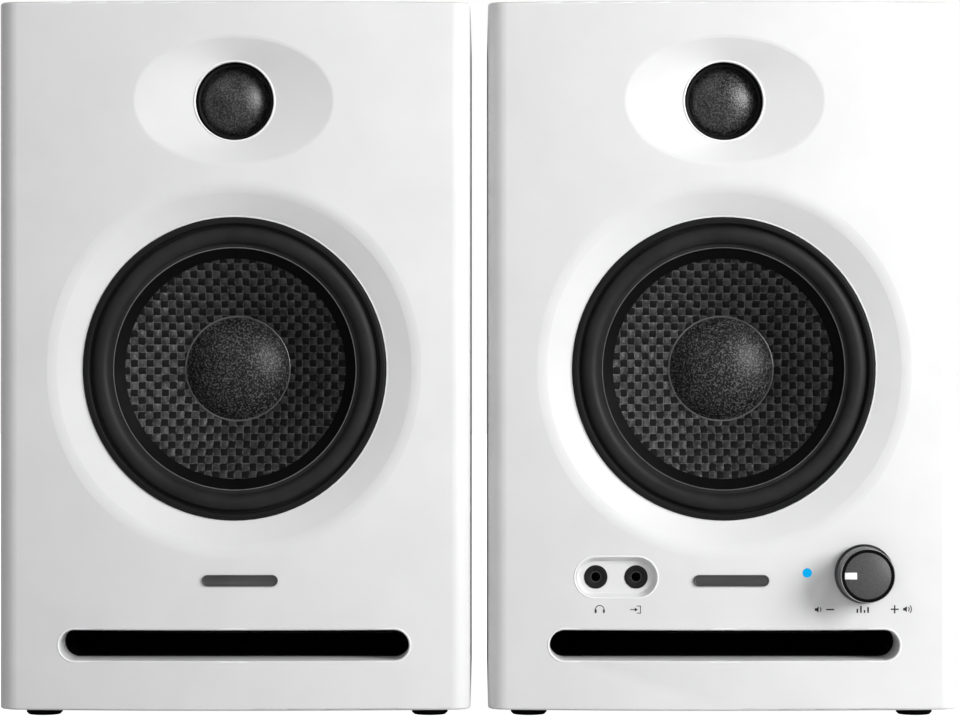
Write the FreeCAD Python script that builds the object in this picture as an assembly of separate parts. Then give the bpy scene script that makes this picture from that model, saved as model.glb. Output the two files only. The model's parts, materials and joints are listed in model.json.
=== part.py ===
import FreeCAD
import Part
import math
import os

# A pair of two-way desktop speakers, in millimetres. +X is to the right as the listener sees them,
# +Y runs from the front to the back, and +Z is up from the surface that the feet stand on.
# Each speaker is drawn about its own middle, with the foremost point of its front at y = 0,
# and is then moved to its place in the pair. The right one is powered and has the controls.

# ---------------------------------------------------------------- overall sizes
CABINET_WIDTH = 150.0
CABINET_HEIGHT = 225.0
CABINET_DEPTH = 180.0
PAIR_GAP = 5.6
FOOT_HEIGHT = 2.5
FOOT_RADIUS = 5.75
FOOT_SIDE_INSET = 13.1
FRONT_FOOT_Y = 17.0
REAR_FOOT_INSET = 16.0

# ---------------------------------------------------------------- cabinet and front baffle
BOARD = 9.0
LONG_EDGE_RADIUS = 1.2
BAFFLE_DEPTH = 24.0
BAFFLE_WALL = 3.0
FRONT_BOW_RADIUS = 680.0
SIDE_EDGE_RADIUS = 6.5
RIM_RADIUS = 0.8
PEG_RADIUS = 2.5
PEG_LENGTH = 8.0
PEG_CLEARANCE = 0.1
PEG_INSET = 5.6
PEG_BLOCK = 12.0
CLEAT = 12.0
PLATE_CLEARANCE = 0.3

# ---------------------------------------------------------------- woofer
TWEETER_DROP = 31.5
DRIVER_SPACING = 85.15
RING_OUTER = 48.15
RING_WIDTH = 2.2
RING_PROUD = 2.8
RING_CLEARANCE = 0.2
DISH_LAND = 0.5
DISH_WIDTH = 9.0
DISH_DEPTH = 5.0
DISH_EDGE_RADIUS = 9.0
DRIVER_SEAT_Y = 7.0
FLANGE_OVERHANG = 10.7
FLANGE_THICK = 1.6
WOOFER_SCREW_INSET = 4.2
WOOFER_SCREW_BITE = 2.4
ROLL_RADIUS = 2.9
ROLL_LAND_OUTER = 0.4
ROLL_LAND_INNER = 1.4
RUBBER = 0.8
CONE_RIM_WIDTH = 3.2
CONE_THICK = 0.7
CONE_SLOPE = 0.581
NECK_LENGTH = 3.2
GLUE_LINE = 0.1
COIL_RADIUS = 12.95
FORMER_WALL = 0.2
WINDING = 0.4
WINDING_HALF_LENGTH = 5.0
COIL_REAR_Y = 45.0
DUST_CAP_RADIUS = 16.3
DUST_CAP_HEIGHT = 7.0
DUST_CAP_WALL = 0.5
SPIDER_Y = 27.0
SPIDER_OUTER = 31.0
SPIDER_WALL = 0.6
SPIDER_WAVES = 3
SPIDER_WAVE_HEIGHT = 1.2
SPIDER_LAND = 2.5
BASKET_WALL = 1.2
BASKET_REAR_Y = 37.0
BASKET_WINDOW = 30.0
TOP_PLATE = 4.0
MAGNET_LENGTH = 12.0
BACK_PLATE = 5.0
MAGNET_RADIUS = 32.5
PLATE_INSET = 3.0
POLE_GAP = 0.35
COIL_GAP = 0.6

# ---------------------------------------------------------------- tweeter
THROAT_RADIUS = 12.5
WAVEGUIDE_SIDE_WIDTH = 19.1
WAVEGUIDE_TOP_WIDTH = 7.8
WAVEGUIDE_DEPTH = 4.5
WAVEGUIDE_EDGE_RADIUS = 2.5
TWEETER_FLANGE_THICK = 2.1
TWEETER_SCREW_BITE = 2.8
TWEETER_ROLL_WIDTH = 1.65
TWEETER_CUP_OVERHANG = 4.5
TWEETER_CUP_DEPTH = 10.0
TWEETER_WASHER = 2.5
TWEETER_DOME_HEIGHT = 4.7
TWEETER_SKIN = 0.3

# ---------------------------------------------------------------- slot port
SLOT_WIDTH = 110.9
SLOT_HEIGHT = 9.6
SLOT_Z = 23.2
SLOT_EDGE_RADIUS = 0.6
SLOT_COLLAR_WALL = 2.4
SLOT_COLLAR_REAR_Y = 18.0
DUCT_REAR_Y = 110.0
DUCT_WALL = 2.0

# ---------------------------------------------------------------- controls on the right front
WELL_X = -34.4
WELL_Z = 44.8
WELL_END_MARGIN = 6.6
WELL_HEIGHT = 12.8
WELL_DEPTH = 2.0
WELL_DRAFT = 1.4
JACK_SPACING = 12.8
JACK_BODY_GAP = 1.8
JACK_NOSE_RADIUS = 3.65
JACK_BORE_RADIUS = 1.8
JACK_BORE_LENGTH = 14.5
CONTROL_BOARD_Y = 18.0
PCB = 1.6
LED_X = 26.1
LED_Z = 46.2
LED_RADIUS = 1.45
KNOB_X = 44.0
KNOB_Z = 46.0
KNOB_BASE_RADIUS = 9.4
KNOB_FACE_RADIUS = 8.5
KNOB_LENGTH = 12.0
KNOB_CHAMFER = 0.6
KNOB_WALL = 1.6
POINTER_LENGTH = 3.9
POINTER_WIDTH = 2.2
POINTER_SINK = 0.3
SHAFT_RADIUS = 3.0
SHAFT_CLEARANCE = 0.05
PUSH_TRAVEL = 0.5
ENCODER = 12.4
ENCODER_DEPTH = 7.0
BUSHING_WALL = 0.85
ROTOR_WALL = 1.75

# ---------------------------------------------------------------- rear of the cabinets
REAR_PROUD = 10.0
AMP_PLATE = 2.0
TERMINAL_Z = 96.0
TERMINAL_FLANGE_WIDTH = 56.0
TERMINAL_FLANGE_HEIGHT = 36.0
TERMINAL_WIDTH = 44.0
TERMINAL_HEIGHT = 24.0
TERMINAL_INNER = 12.0
CLIP_OFFSET = 11.0
CLIP_WIDTH = 10.0
CLIP_LENGTH = 11.0
CLIP_THICK = 2.4
CLIP_TILT = 20.0
CLIP_PIN_RADIUS = 1.0
CLIP_SIDE_GAP = 0.3
CLIP_PIN_BITE = 1.2
CLIP_RIDGE_RISE = 0.8
CLIP_RIDGE_WIDTH = 2.0
CLIP_POCKET_DEPTH = 3.0
CLIP_PIVOT_INSET = 5.8
CLIP_PIVOT_RISE = 8.0
TERMINAL_FLANGE_THICK = 2.0
TERMINAL_BODY_INSET = 2.0
TERMINAL_SCREW_INSET = 3.5
WIRE_HOLE_RISE = 4.2
WIRE_HOLE_RADIUS = 1.6
WIRE_HOLE_LENGTH = 14.0
TONE_KNOB_Z = 186.0
TONE_KNOB_OFFSET = 22.0
TONE_KNOB_RADIUS = 6.0
RCA_Z = 148.0
RCA_OFFSET = 9.0
RCA_BARREL_RADIUS = 4.15
RCA_BARREL_LENGTH = 9.0
RCA_PIN_BORE = 1.65
RCA_PIN_DEPTH = 8.0
POWER_Z = 42.0
POWER_WIDTH = 58.0
POWER_HEIGHT = 24.0
INLET_X = -13.5
INLET_PIN_PITCH = 8.6
INLET_PIN_RADIUS = 1.2
INLET_LOBE_RADIUS = 4.1
INLET_NECK = 6.4
INLET_DEPTH = 11.0
ROCKER_X = 14.0
ROCKER_WIDTH = 18.0
ROCKER_HEIGHT = 12.0
ROCKER_TILT = 9.0
AMP_BOARD_Y = 164.0
AMP_BOARD_HALF_WIDTH = 50.0
AMP_BOARD_BOTTOM = 116.0
AMP_BOARD_TOP = 204.0
POT_HALF_WIDTH = 5.5
POT_HEIGHT = 12.0
POT_DEPTH = 8.0
CAPACITOR_RADIUS = 5.0
CAPACITOR_LENGTH = 18.0
CAPACITOR_X = 38.0
CAPACITOR_Z = 194.0
CHIP_THICK = 3.0
CHIP_WIDTH = 18.0
CHIP_Z = 157.0
CHIP_HEIGHT = 14.0
HEAT_SINK_HALF_WIDTH = 28.0
HEAT_SINK_BOTTOM = 128.0
HEAT_SINK_TOP = 180.0
HEAT_SINK_BASE = 4.0
FIN_COUNT = 9
FIN_PITCH = 6.6
FIN_THICK = 1.9
FIN_LENGTH = 16.0
SUPPLY_HALF_WIDTH = 48.0
SUPPLY_BOTTOM = 62.0
SUPPLY_TOP = 112.0
SUPPLY_SETBACK = 8.0
TRANSFORMER_Z = 87.0
WINDING_WIDTH = 32.0
WINDING_HEIGHT = 30.0
WINDING_DEPTH = 26.0
CORE_WIDTH = 40.0
CORE_HEIGHT = 38.0
CORE_DEPTH = 16.0
CORE_GAP = 5.0
RESERVOIR_RADIUS = 8.0
RESERVOIR_LENGTH = 28.0
RESERVOIR_X = 36.0
CROSSOVER_Z = 142.0
CROSSOVER_HALF_WIDTH = 30.0
CROSSOVER_HALF_HEIGHT = 20.0
CROSSOVER_STANDOFF = 5.0
CROSSOVER_POST = 4.0
CROSSOVER_POST_INSET = 4.0
COIL_OUTER = 12.0
COIL_BORE = 5.0
COIL_LENGTH = 14.0
FILTER_CAN_RADIUS = 6.5
FILTER_CAN_LENGTH = 22.0
FILTER_OFFSET = 14.0
STEM_RADIUS = 2.9
STEM_HOLE_RADIUS = 3.6
FLUTE_COUNT = 12
FLUTE_RADIUS = 0.8
RCA_BLOCK_HALF_WIDTH = 19.0
RCA_BLOCK_HALF_HEIGHT = 8.0
POWER_BODY_DEPTH = 14.0
POWER_FLANGE_THICK = 2.0
POWER_FLANGE_OVERLAP = 2.5
ROCKER_GAP = 0.3
ROCKER_RISE = 3.4
ROCKER_WELL_DEPTH = 7.0
ROCKER_PIVOT_INSET = 1.0
ROCKER_PIN_RADIUS = 1.2
ROCKER_PIN_BITE = 1.5

SCREW_RADIUS = 1.5
SCREW_CLEARANCE = 0.05
SCREW_HEAD_RADIUS = 2.9
SCREW_HEAD_HEIGHT = 1.7

# ---------------------------------------------------------------- places that follow from the sizes
FLOOR_TO_CABINET = FOOT_HEIGHT
CABINET_TOP = FOOT_HEIGHT + CABINET_HEIGHT
HALF_WIDTH = CABINET_WIDTH / 2
TWEETER_Z = CABINET_TOP - TWEETER_DROP
WOOFER_Z = TWEETER_Z - DRIVER_SPACING
RING_INNER = RING_OUTER - RING_WIDTH
WOOFER_BORE = RING_OUTER + RING_CLEARANCE
DISH_BOTTOM_RADIUS = WOOFER_BORE + DISH_LAND
DISH_RADIUS = DISH_BOTTOM_RADIUS + DISH_WIDTH
FLANGE_RADIUS = RING_OUTER + FLANGE_OVERHANG
WOOFER_BOSS_RADIUS = FLANGE_RADIUS + 3.5
WOOFER_SCREW_CIRCLE = FLANGE_RADIUS - WOOFER_SCREW_INSET
ROLL_CENTRE = RING_INNER - ROLL_LAND_OUTER - ROLL_RADIUS
CONE_EDGE = ROLL_CENTRE - ROLL_RADIUS - ROLL_LAND_INNER
CONE_RIM_INNER = CONE_EDGE - CONE_RIM_WIDTH
WAVEGUIDE_HALF_WIDTH = THROAT_RADIUS + WAVEGUIDE_SIDE_WIDTH
WAVEGUIDE_HALF_HEIGHT = THROAT_RADIUS + WAVEGUIDE_TOP_WIDTH
TWEETER_COIL_RADIUS = THROAT_RADIUS - TWEETER_ROLL_WIDTH
TWEETER_CUP_RADIUS = THROAT_RADIUS + TWEETER_CUP_OVERHANG
TWEETER_SCREW_OFFSET = TWEETER_CUP_RADIUS + SCREW_HEAD_RADIUS + 0.3
TWEETER_FLANGE_RADIUS = TWEETER_SCREW_OFFSET + SCREW_HEAD_RADIUS + 0.4
WELL_WIDTH = JACK_SPACING + 2 * WELL_END_MARGIN
JACK_BODY = JACK_SPACING - JACK_BODY_GAP
BUSHING_RADIUS = SHAFT_RADIUS + BUSHING_WALL
SIDE_X = (CABINET_WIDTH + PAIR_GAP) / 2
TONE_STEM_END = AMP_BOARD_Y + PCB + 3.0
PAIR_Y = -(CABINET_DEPTH + REAR_PROUD - KNOB_LENGTH) / 2
DEPTH_AXIS = FreeCAD.Vector(0, 1, 0)
WIDTH_AXIS = FreeCAD.Vector(1, 0, 0)
PARTS = {}


# ================================================================ small makers
def vec(x, y, z):
    return FreeCAD.Vector(x, y, z)


def block(x0, x1, y0, y1, z0, z1):
    """A box from its two corners."""
    return Part.makeBox(x1 - x0, y1 - y0, z1 - z0, vec(x0, y0, z0))


def rod(radius, y0, y1, x=0.0, z=0.0):
    """A round bar along the depth axis."""
    return Part.makeCylinder(radius, y1 - y0, vec(x, y0, z), DEPTH_AXIS)


def tube(outer, inner, y0, y1, x=0.0, z=0.0):
    return rod(outer, y0, y1, x, z).cut(rod(inner, y0 - 1, y1 + 1, x, z))


def pill_wire(width, height, y, x, z):
    """A slot outline with round ends, in the plane at depth y."""
    flat = (width - height) / 2
    r = height / 2
    a, b = vec(x - flat, y, z + r), vec(x + flat, y, z + r)
    c, d = vec(x + flat, y, z - r), vec(x - flat, y, z - r)
    edges = [
        Part.LineSegment(a, b).toShape(),
        Part.Arc(b, vec(x + flat + r, y, z), c).toShape(),
        Part.LineSegment(c, d).toShape(),
        Part.Arc(d, vec(x - flat - r, y, z), a).toShape(),
    ]
    return Part.Wire(edges)


def pill(width, height, y0, y1, x=0.0, z=0.0):
    return Part.Face(pill_wire(width, height, y0, x, z)).extrude(vec(0, y1 - y0, 0))


def ellipse_wire(half_width, half_height, y, x, z):
    curve = Part.Ellipse(vec(x, y, z), half_width, half_height)
    curve.Axis = vec(0, -1, 0)
    curve.XAxis = WIDTH_AXIS
    return Part.Wire([curve.toShape()])


def circle_wire(radius, y, x, z):
    curve = Part.Circle(vec(x, y, z), vec(0, -1, 0), radius)
    curve.XAxis = WIDTH_AXIS
    return Part.Wire([curve.toShape()])


def outline(steps, at):
    """A closed wire through the steps: a point, or a tuple (via, to) for an arc. at() turns a point into 3-D."""
    edges = []
    start = steps[0]
    here = start
    for step in list(steps[1:]) + [start]:
        if isinstance(step[0], tuple):
            via, to = step
            edges.append(Part.Arc(at(here), at(via), at(to)).toShape())
        else:
            to = step
            if math.dist(here, to) > 1e-6:
                edges.append(Part.LineSegment(at(here), at(to)).toShape())
        here = to
    return Part.Wire(edges)


def turned(steps, x=0.0, z=0.0):
    """A solid of revolution about the depth axis, from an outline of (radius, y) points."""
    wire = outline(steps, lambda p: vec(p[0], p[1], 0))
    solid = Part.Face(wire).revolve(vec(0, 0, 0), DEPTH_AXIS, 360)
    solid.translate(vec(x, 0, z))
    return Part.Solid(solid.Shells[0]) if not solid.Solids else solid.Solids[0]


def dome_arc(radius, y_edge, y_top):
    """The arc step from (radius, y_edge) to the dome's top on the axis."""
    height = y_edge - y_top
    ball = (radius**2 + height**2) / (2 * height)
    half = math.asin(min(1.0, radius / ball)) / 2
    return (ball * math.sin(half), y_top + ball - ball * math.cos(half)), (0.0, y_top)


def edges_along(shape, direction):
    """The straight edges that run along a direction."""
    found = []
    for edge in shape.Edges:
        if isinstance(edge.Curve, Part.Line):
            if edge.Curve.Direction.cross(direction).Length < 1e-6:
                found.append(edge)
    return found


def soft_block(x0, x1, y0, y1, z0, z1, radius):
    """A box with its four edges along the depth axis rounded."""
    solid = block(x0, x1, y0, y1, z0, z1)
    return solid.makeFillet(radius, edges_along(solid, DEPTH_AXIS))


def fused(pieces):
    solid = pieces[0].fuse(pieces[1:]) if len(pieces) > 1 else pieces[0]
    return solid.removeSplitter()


def cut_all(solid, tools):
    return solid.cut(tools) if tools else solid


def screw(x, y_seat, z, length, radius=SCREW_RADIUS, head=SCREW_HEAD_RADIUS):
    """A pan-head cross-recess screw driven towards the front, its head's underside at y_seat."""
    crown = SCREW_HEAD_HEIGHT * 0.5
    solid = turned(
        [
            (0.0, y_seat - length),
            (radius * 0.55, y_seat - length),
            (radius, y_seat - length + radius * 0.6),
            (radius, y_seat),
            (head, y_seat),
            (head, y_seat + SCREW_HEAD_HEIGHT - crown),
            ((head * 0.72, y_seat + SCREW_HEAD_HEIGHT - crown * 0.35), (0.0, y_seat + SCREW_HEAD_HEIGHT)),
        ],
        x,
        z,
    )
    arm, width, sink = head * 0.55, head * 0.2, SCREW_HEAD_HEIGHT * 0.6
    y0 = y_seat + SCREW_HEAD_HEIGHT - sink
    y1 = y_seat + SCREW_HEAD_HEIGHT + 1
    cross = [
        block(x - arm, x + arm, y0, y1, z - width / 2, z + width / 2),
        block(x - width / 2, x + width / 2, y0, y1, z - arm, z + arm),
    ]
    return solid.cut(cross)


def screw_hole(x, y_front, y_rear, z, radius=SCREW_RADIUS):
    return rod(radius + SCREW_CLEARANCE, y_front, y_rear, x, z)


def bow(x):
    """How far the bowed front lies behind its foremost line, at x."""
    return FRONT_BOW_RADIUS - math.sqrt(FRONT_BOW_RADIUS**2 - x**2)


def keep(side, name, solids):
    """Stores one sub-part of the speaker on the side given, moved to its place in the pair."""
    shape = Part.makeCompound(solids) if isinstance(solids, list) else solids
    shape = shape.copy()
    shape.translate(vec(SIDE_X if side == "right" else -SIDE_X, PAIR_Y, 0))
    PARTS[f"{side}_{name}"] = shape


# ================================================================ the front baffle
def bowed_prism(inset, z0, z1, y_rear, edge_radius):
    """A prism as wide as the cabinet less inset, with the bowed front moved back by inset."""
    half = HALF_WIDTH - inset
    inner_bow = FRONT_BOW_RADIUS - inset
    front = inset + inner_bow - math.sqrt(inner_bow**2 - half**2)
    wire = outline(
        [(-half, y_rear), (-half, front), ((0.0, inset), (half, front)), (half, y_rear)],
        lambda p: vec(p[0], p[1], z0),
    )
    solid = Part.Face(wire).extrude(vec(0, 0, z1 - z0))
    upright = [
        e for e in edges_along(solid, vec(0, 0, 1)) if e.CenterOfMass.y < y_rear - 1
    ]
    return solid.makeFillet(edge_radius, upright)


def baffle_envelope():
    """The outside of the moulding, with its rim rounded all round the front."""
    solid = bowed_prism(0.0, FLOOR_TO_CABINET, CABINET_TOP, BAFFLE_DEPTH, SIDE_EDGE_RADIUS)
    rims = []
    for edge in solid.Edges:
        box = edge.BoundBox
        level = box.ZLength < 1e-6
        if level and box.YMin < BAFFLE_DEPTH - 0.5:
            rims.append(edge)
    return solid.makeFillet(RIM_RADIUS, rims)


def dish_tool():
    """The shallow round dish about the woofer. Its mouth is an ellipse in front of the bowed face, so that
    it meets that face in a circle."""
    start_y = -4.0

    def reach(face_y):
        share = (DISH_DEPTH - start_y) / (DISH_DEPTH - face_y)
        return DISH_BOTTOM_RADIUS + (DISH_RADIUS - DISH_BOTTOM_RADIUS) * share

    mouth = ellipse_wire(reach(bow(DISH_RADIUS)), reach(0.0), start_y, 0, WOOFER_Z)
    floor = circle_wire(DISH_BOTTOM_RADIUS, DISH_DEPTH, 0, WOOFER_Z)
    return Part.makeLoft([mouth, floor], True, True)


def waveguide_tool():
    """The oval horn in front of the tweeter, down to its round throat."""
    start_y = -1.5

    def reach(half, face_y):
        share = (WAVEGUIDE_DEPTH - start_y) / (WAVEGUIDE_DEPTH - face_y)
        return THROAT_RADIUS + (half - THROAT_RADIUS) * share

    mouth = ellipse_wire(
        reach(WAVEGUIDE_HALF_WIDTH, bow(WAVEGUIDE_HALF_WIDTH)),
        reach(WAVEGUIDE_HALF_HEIGHT, 0.0),
        start_y,
        0,
        TWEETER_Z,
    )
    floor = circle_wire(THROAT_RADIUS, WAVEGUIDE_DEPTH, 0, TWEETER_Z)
    return Part.makeLoft([mouth, floor], True, True)


def mouth_edges(shape, z, half_width, half_height, y_limit):
    """The edges in which a recess centred on x = 0 at height z meets the front face."""
    found = []
    for edge in shape.Edges:
        box = edge.BoundBox
        inside = box.YMax < y_limit and box.XMax < half_width and box.XMin > -half_width
        level = box.ZMax < z + half_height and box.ZMin > z - half_height
        if inside and level and box.DiagonalLength > 4:
            found.append(edge)
    return found


def well_tool():
    """The sloping-walled recess that holds the two jack sockets."""
    face_y = bow(WELL_X)
    floor_y = face_y + WELL_DEPTH
    out = 2.0
    grow = WELL_DRAFT * (WELL_DEPTH + out) / WELL_DEPTH
    narrow = WELL_HEIGHT - 2 * WELL_DRAFT
    flat = WELL_WIDTH - WELL_HEIGHT
    floor = pill_wire(flat + narrow, narrow, floor_y, WELL_X, WELL_Z)
    wide = narrow + 2 * grow
    mouth = pill_wire(flat + wide, wide, face_y - out, WELL_X, WELL_Z)
    return Part.makeLoft([mouth, floor], True, True)


def woofer_screw_places():
    for k in range(4):
        turn = math.radians(45 + 90 * k)
        yield WOOFER_SCREW_CIRCLE * math.cos(turn), WOOFER_Z + WOOFER_SCREW_CIRCLE * math.sin(turn)


def tweeter_screw_places():
    for up in (-1, 1):
        yield 0.0, TWEETER_Z + up * TWEETER_SCREW_OFFSET


def peg_places():
    for x in (-1, 1):
        for z in (FLOOR_TO_CABINET + PEG_INSET, CABINET_TOP - PEG_INSET):
            yield x * (HALF_WIDTH - PEG_INSET), z


def board_screw_places():
    for x in (-14.0, 12.0):
        yield x, KNOB_Z - 3.0


def jack_places():
    for turn in (-1, 1):
        yield WELL_X + turn * JACK_SPACING / 2, WELL_Z


def front_baffle(side):
    powered = side == "right"
    envelope = baffle_envelope()
    pocket = bowed_prism(
        BAFFLE_WALL,
        FLOOR_TO_CABINET + BAFFLE_WALL,
        CABINET_TOP - BAFFLE_WALL,
        BAFFLE_DEPTH + 1,
        SIDE_EDGE_RADIUS - BAFFLE_WALL,
    )
    collar = SLOT_COLLAR_WALL * 2
    inner = [
        rod(WOOFER_BOSS_RADIUS, -1, DRIVER_SEAT_Y, 0, WOOFER_Z),
        pill(2 * WAVEGUIDE_HALF_WIDTH + 6, 2 * TWEETER_FLANGE_RADIUS + 3, -1, DRIVER_SEAT_Y, 0, TWEETER_Z),
        pill(SLOT_WIDTH + collar, SLOT_HEIGHT + collar, -1, SLOT_COLLAR_REAR_Y, 0, SLOT_Z),
    ]
    for x, z in peg_places():
        x_in = x - math.copysign(PEG_BLOCK - PEG_INSET, x)
        x_out = math.copysign(HALF_WIDTH, x)
        low = z < WOOFER_Z
        z_in = z + (PEG_BLOCK - PEG_INSET) * (1 if low else -1)
        z_out = FLOOR_TO_CABINET if low else CABINET_TOP
        inner.append(
            block(min(x_in, x_out), max(x_in, x_out), 0, BAFFLE_DEPTH, min(z_in, z_out), max(z_in, z_out))
        )
    if powered:
        inner.append(pill(WELL_WIDTH + 6, WELL_HEIGHT + 6, -1, bow(WELL_X) + WELL_DEPTH + 3, WELL_X, WELL_Z))
        for x, z in board_screw_places():
            inner.append(rod(3.2, 1, CONTROL_BOARD_Y, x, z))
    inner = [envelope.common(piece) for piece in inner]
    solid = fused([envelope.cut(pocket)] + inner)

    solid = solid.cut(dish_tool())
    solid = solid.cut(waveguide_tool())
    solid = fused([solid])
    dish_edges = mouth_edges(solid, WOOFER_Z, DISH_RADIUS + 3, DISH_RADIUS + 3, DISH_DEPTH - 1)
    solid = solid.makeFillet(DISH_EDGE_RADIUS, dish_edges)
    guide_edges = mouth_edges(
        solid, TWEETER_Z, WAVEGUIDE_HALF_WIDTH + 2, WAVEGUIDE_HALF_HEIGHT + 2, WAVEGUIDE_DEPTH - 1
    )
    solid = solid.makeFillet(WAVEGUIDE_EDGE_RADIUS, guide_edges)

    holes = [
        rod(WOOFER_BORE, -1, DRIVER_SEAT_Y + 1, 0, WOOFER_Z),
        rod(THROAT_RADIUS, -1, DRIVER_SEAT_Y + 1, 0, TWEETER_Z),
        pill(SLOT_WIDTH, SLOT_HEIGHT, -1, SLOT_COLLAR_REAR_Y + 1, 0, SLOT_Z),
    ]
    for x, z in woofer_screw_places():
        holes.append(screw_hole(x, DRIVER_SEAT_Y - WOOFER_SCREW_BITE - 0.3, DRIVER_SEAT_Y + 1, z))
    for x, z in tweeter_screw_places():
        holes.append(screw_hole(x, DRIVER_SEAT_Y - TWEETER_SCREW_BITE - 0.3, DRIVER_SEAT_Y + 1, z))
    if powered:
        holes.append(well_tool())
        for x, z in jack_places():
            holes.append(rod(JACK_NOSE_RADIUS + 0.1, 0, 9, x, z))
        holes.append(rod(LED_RADIUS + 0.05, -1, 9, LED_X, LED_Z))
        holes.append(rod(BUSHING_RADIUS + 0.2, -1, 9, KNOB_X, KNOB_Z))
        for x, z in board_screw_places():
            holes.append(screw_hole(x, CONTROL_BOARD_Y - 7, CONTROL_BOARD_Y + 1, z))
    solid = solid.cut(holes)
    slot_edges = [
        e
        for e in solid.Edges
        if e.BoundBox.YMax < bow(SLOT_WIDTH / 2) + 0.3
        and e.BoundBox.ZMax < SLOT_Z + SLOT_HEIGHT / 2 + 0.1
        and e.BoundBox.ZMin > SLOT_Z - SLOT_HEIGHT / 2 - 0.1
        and e.BoundBox.XLength > 2
    ]
    solid = solid.makeFillet(SLOT_EDGE_RADIUS, slot_edges)
    pegs = [
        rod(PEG_RADIUS, BAFFLE_DEPTH - 0.5, BAFFLE_DEPTH + PEG_LENGTH, x, z) for x, z in peg_places()
    ]
    keep(side, "front_baffle", fused([solid] + pegs))


# ================================================================ the cabinet
def cabinet(side):
    """The board box. The left one has a glued back; the right one has cleats that carry the amplifier plate."""
    powered = side == "right"
    z0, z1 = FLOOR_TO_CABINET, CABINET_TOP
    solid = soft_block(
        -HALF_WIDTH, HALF_WIDTH, BAFFLE_DEPTH, CABINET_DEPTH, z0, z1, LONG_EDGE_RADIUS
    )
    inside_x = HALF_WIDTH - BOARD
    rear = CABINET_DEPTH - BOARD
    if powered:
        rear = CABINET_DEPTH - AMP_PLATE - BOARD
    cuts = [block(-inside_x, inside_x, BAFFLE_DEPTH - 1, rear, z0 + BOARD, z1 - BOARD)]
    if powered:
        cuts.append(
            block(
                -inside_x + CLEAT,
                inside_x - CLEAT,
                rear - 1,
                CABINET_DEPTH + 1,
                z0 + BOARD + CLEAT,
                z1 - BOARD - CLEAT,
            )
        )
        cuts.append(
            block(
                -inside_x,
                inside_x,
                CABINET_DEPTH - AMP_PLATE,
                CABINET_DEPTH + 1,
                z0 + BOARD,
                z1 - BOARD,
            )
        )
        for x, z in plate_screw_places():
            cuts.append(screw_hole(x, rear + 1.5, CABINET_DEPTH, z))
    else:
        half = TERMINAL_WIDTH / 2 + PLATE_CLEARANCE
        tall = TERMINAL_HEIGHT / 2 + PLATE_CLEARANCE
        cuts.append(
            block(-half, half, rear - 1, CABINET_DEPTH + 1, TERMINAL_Z - tall, TERMINAL_Z + tall)
        )
        for x, z in terminal_screw_places():
            cuts.append(screw_hole(x, CABINET_DEPTH - 7.5, CABINET_DEPTH + 1, z))
    for x, z in peg_places():
        cuts.append(
            rod(PEG_RADIUS + PEG_CLEARANCE, BAFFLE_DEPTH - 1, BAFFLE_DEPTH + PEG_LENGTH + 0.6, x, z)
        )
    keep(side, "cabinet", solid.cut(cuts))


def foot(x, y):
    """A round rubber foot with a bevelled sole."""
    bevel = 0.7
    wire = outline(
        [
            (0.0, 0.0),
            (FOOT_RADIUS - bevel, 0.0),
            (FOOT_RADIUS, bevel),
            (FOOT_RADIUS, FOOT_HEIGHT),
            (0.0, FOOT_HEIGHT),
        ],
        lambda p: vec(p[0], 0, p[1]),
    )
    solid = Part.Face(wire).revolve(vec(0, 0, 0), vec(0, 0, 1), 360)
    solid.translate(vec(x, y, 0))
    return solid


def feet(side):
    places = [
        (x * (HALF_WIDTH - FOOT_SIDE_INSET), y)
        for x in (-1, 1)
        for y in (FRONT_FOOT_Y, CABINET_DEPTH - REAR_FOOT_INSET)
    ]
    keep(side, "feet", [foot(x, y) for x, y in places])


def port_duct(side):
    """The flat duct behind the slot, with the flange that is glued to the moulding's collar."""
    width = SLOT_WIDTH + 2 * DUCT_WALL
    height = SLOT_HEIGHT + 2 * DUCT_WALL
    front = SLOT_COLLAR_REAR_Y
    solid = fused(
        [
            pill(width, height, front, DUCT_REAR_Y, 0, SLOT_Z),
            pill(width + 6, height + 6, front, front + 2, 0, SLOT_Z),
            pill(width + 4, height + 4, DUCT_REAR_Y - 3, DUCT_REAR_Y, 0, SLOT_Z),
        ]
    )
    solid = solid.cut(pill(SLOT_WIDTH, SLOT_HEIGHT, front - 1, DUCT_REAR_Y + 1, 0, SLOT_Z))
    keep(side, "port_duct", solid)


# ================================================================ the woofer
def cone_front_y(radius):
    return DRIVER_SEAT_Y + 0.2 + (CONE_EDGE - radius) * CONE_SLOPE


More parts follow.
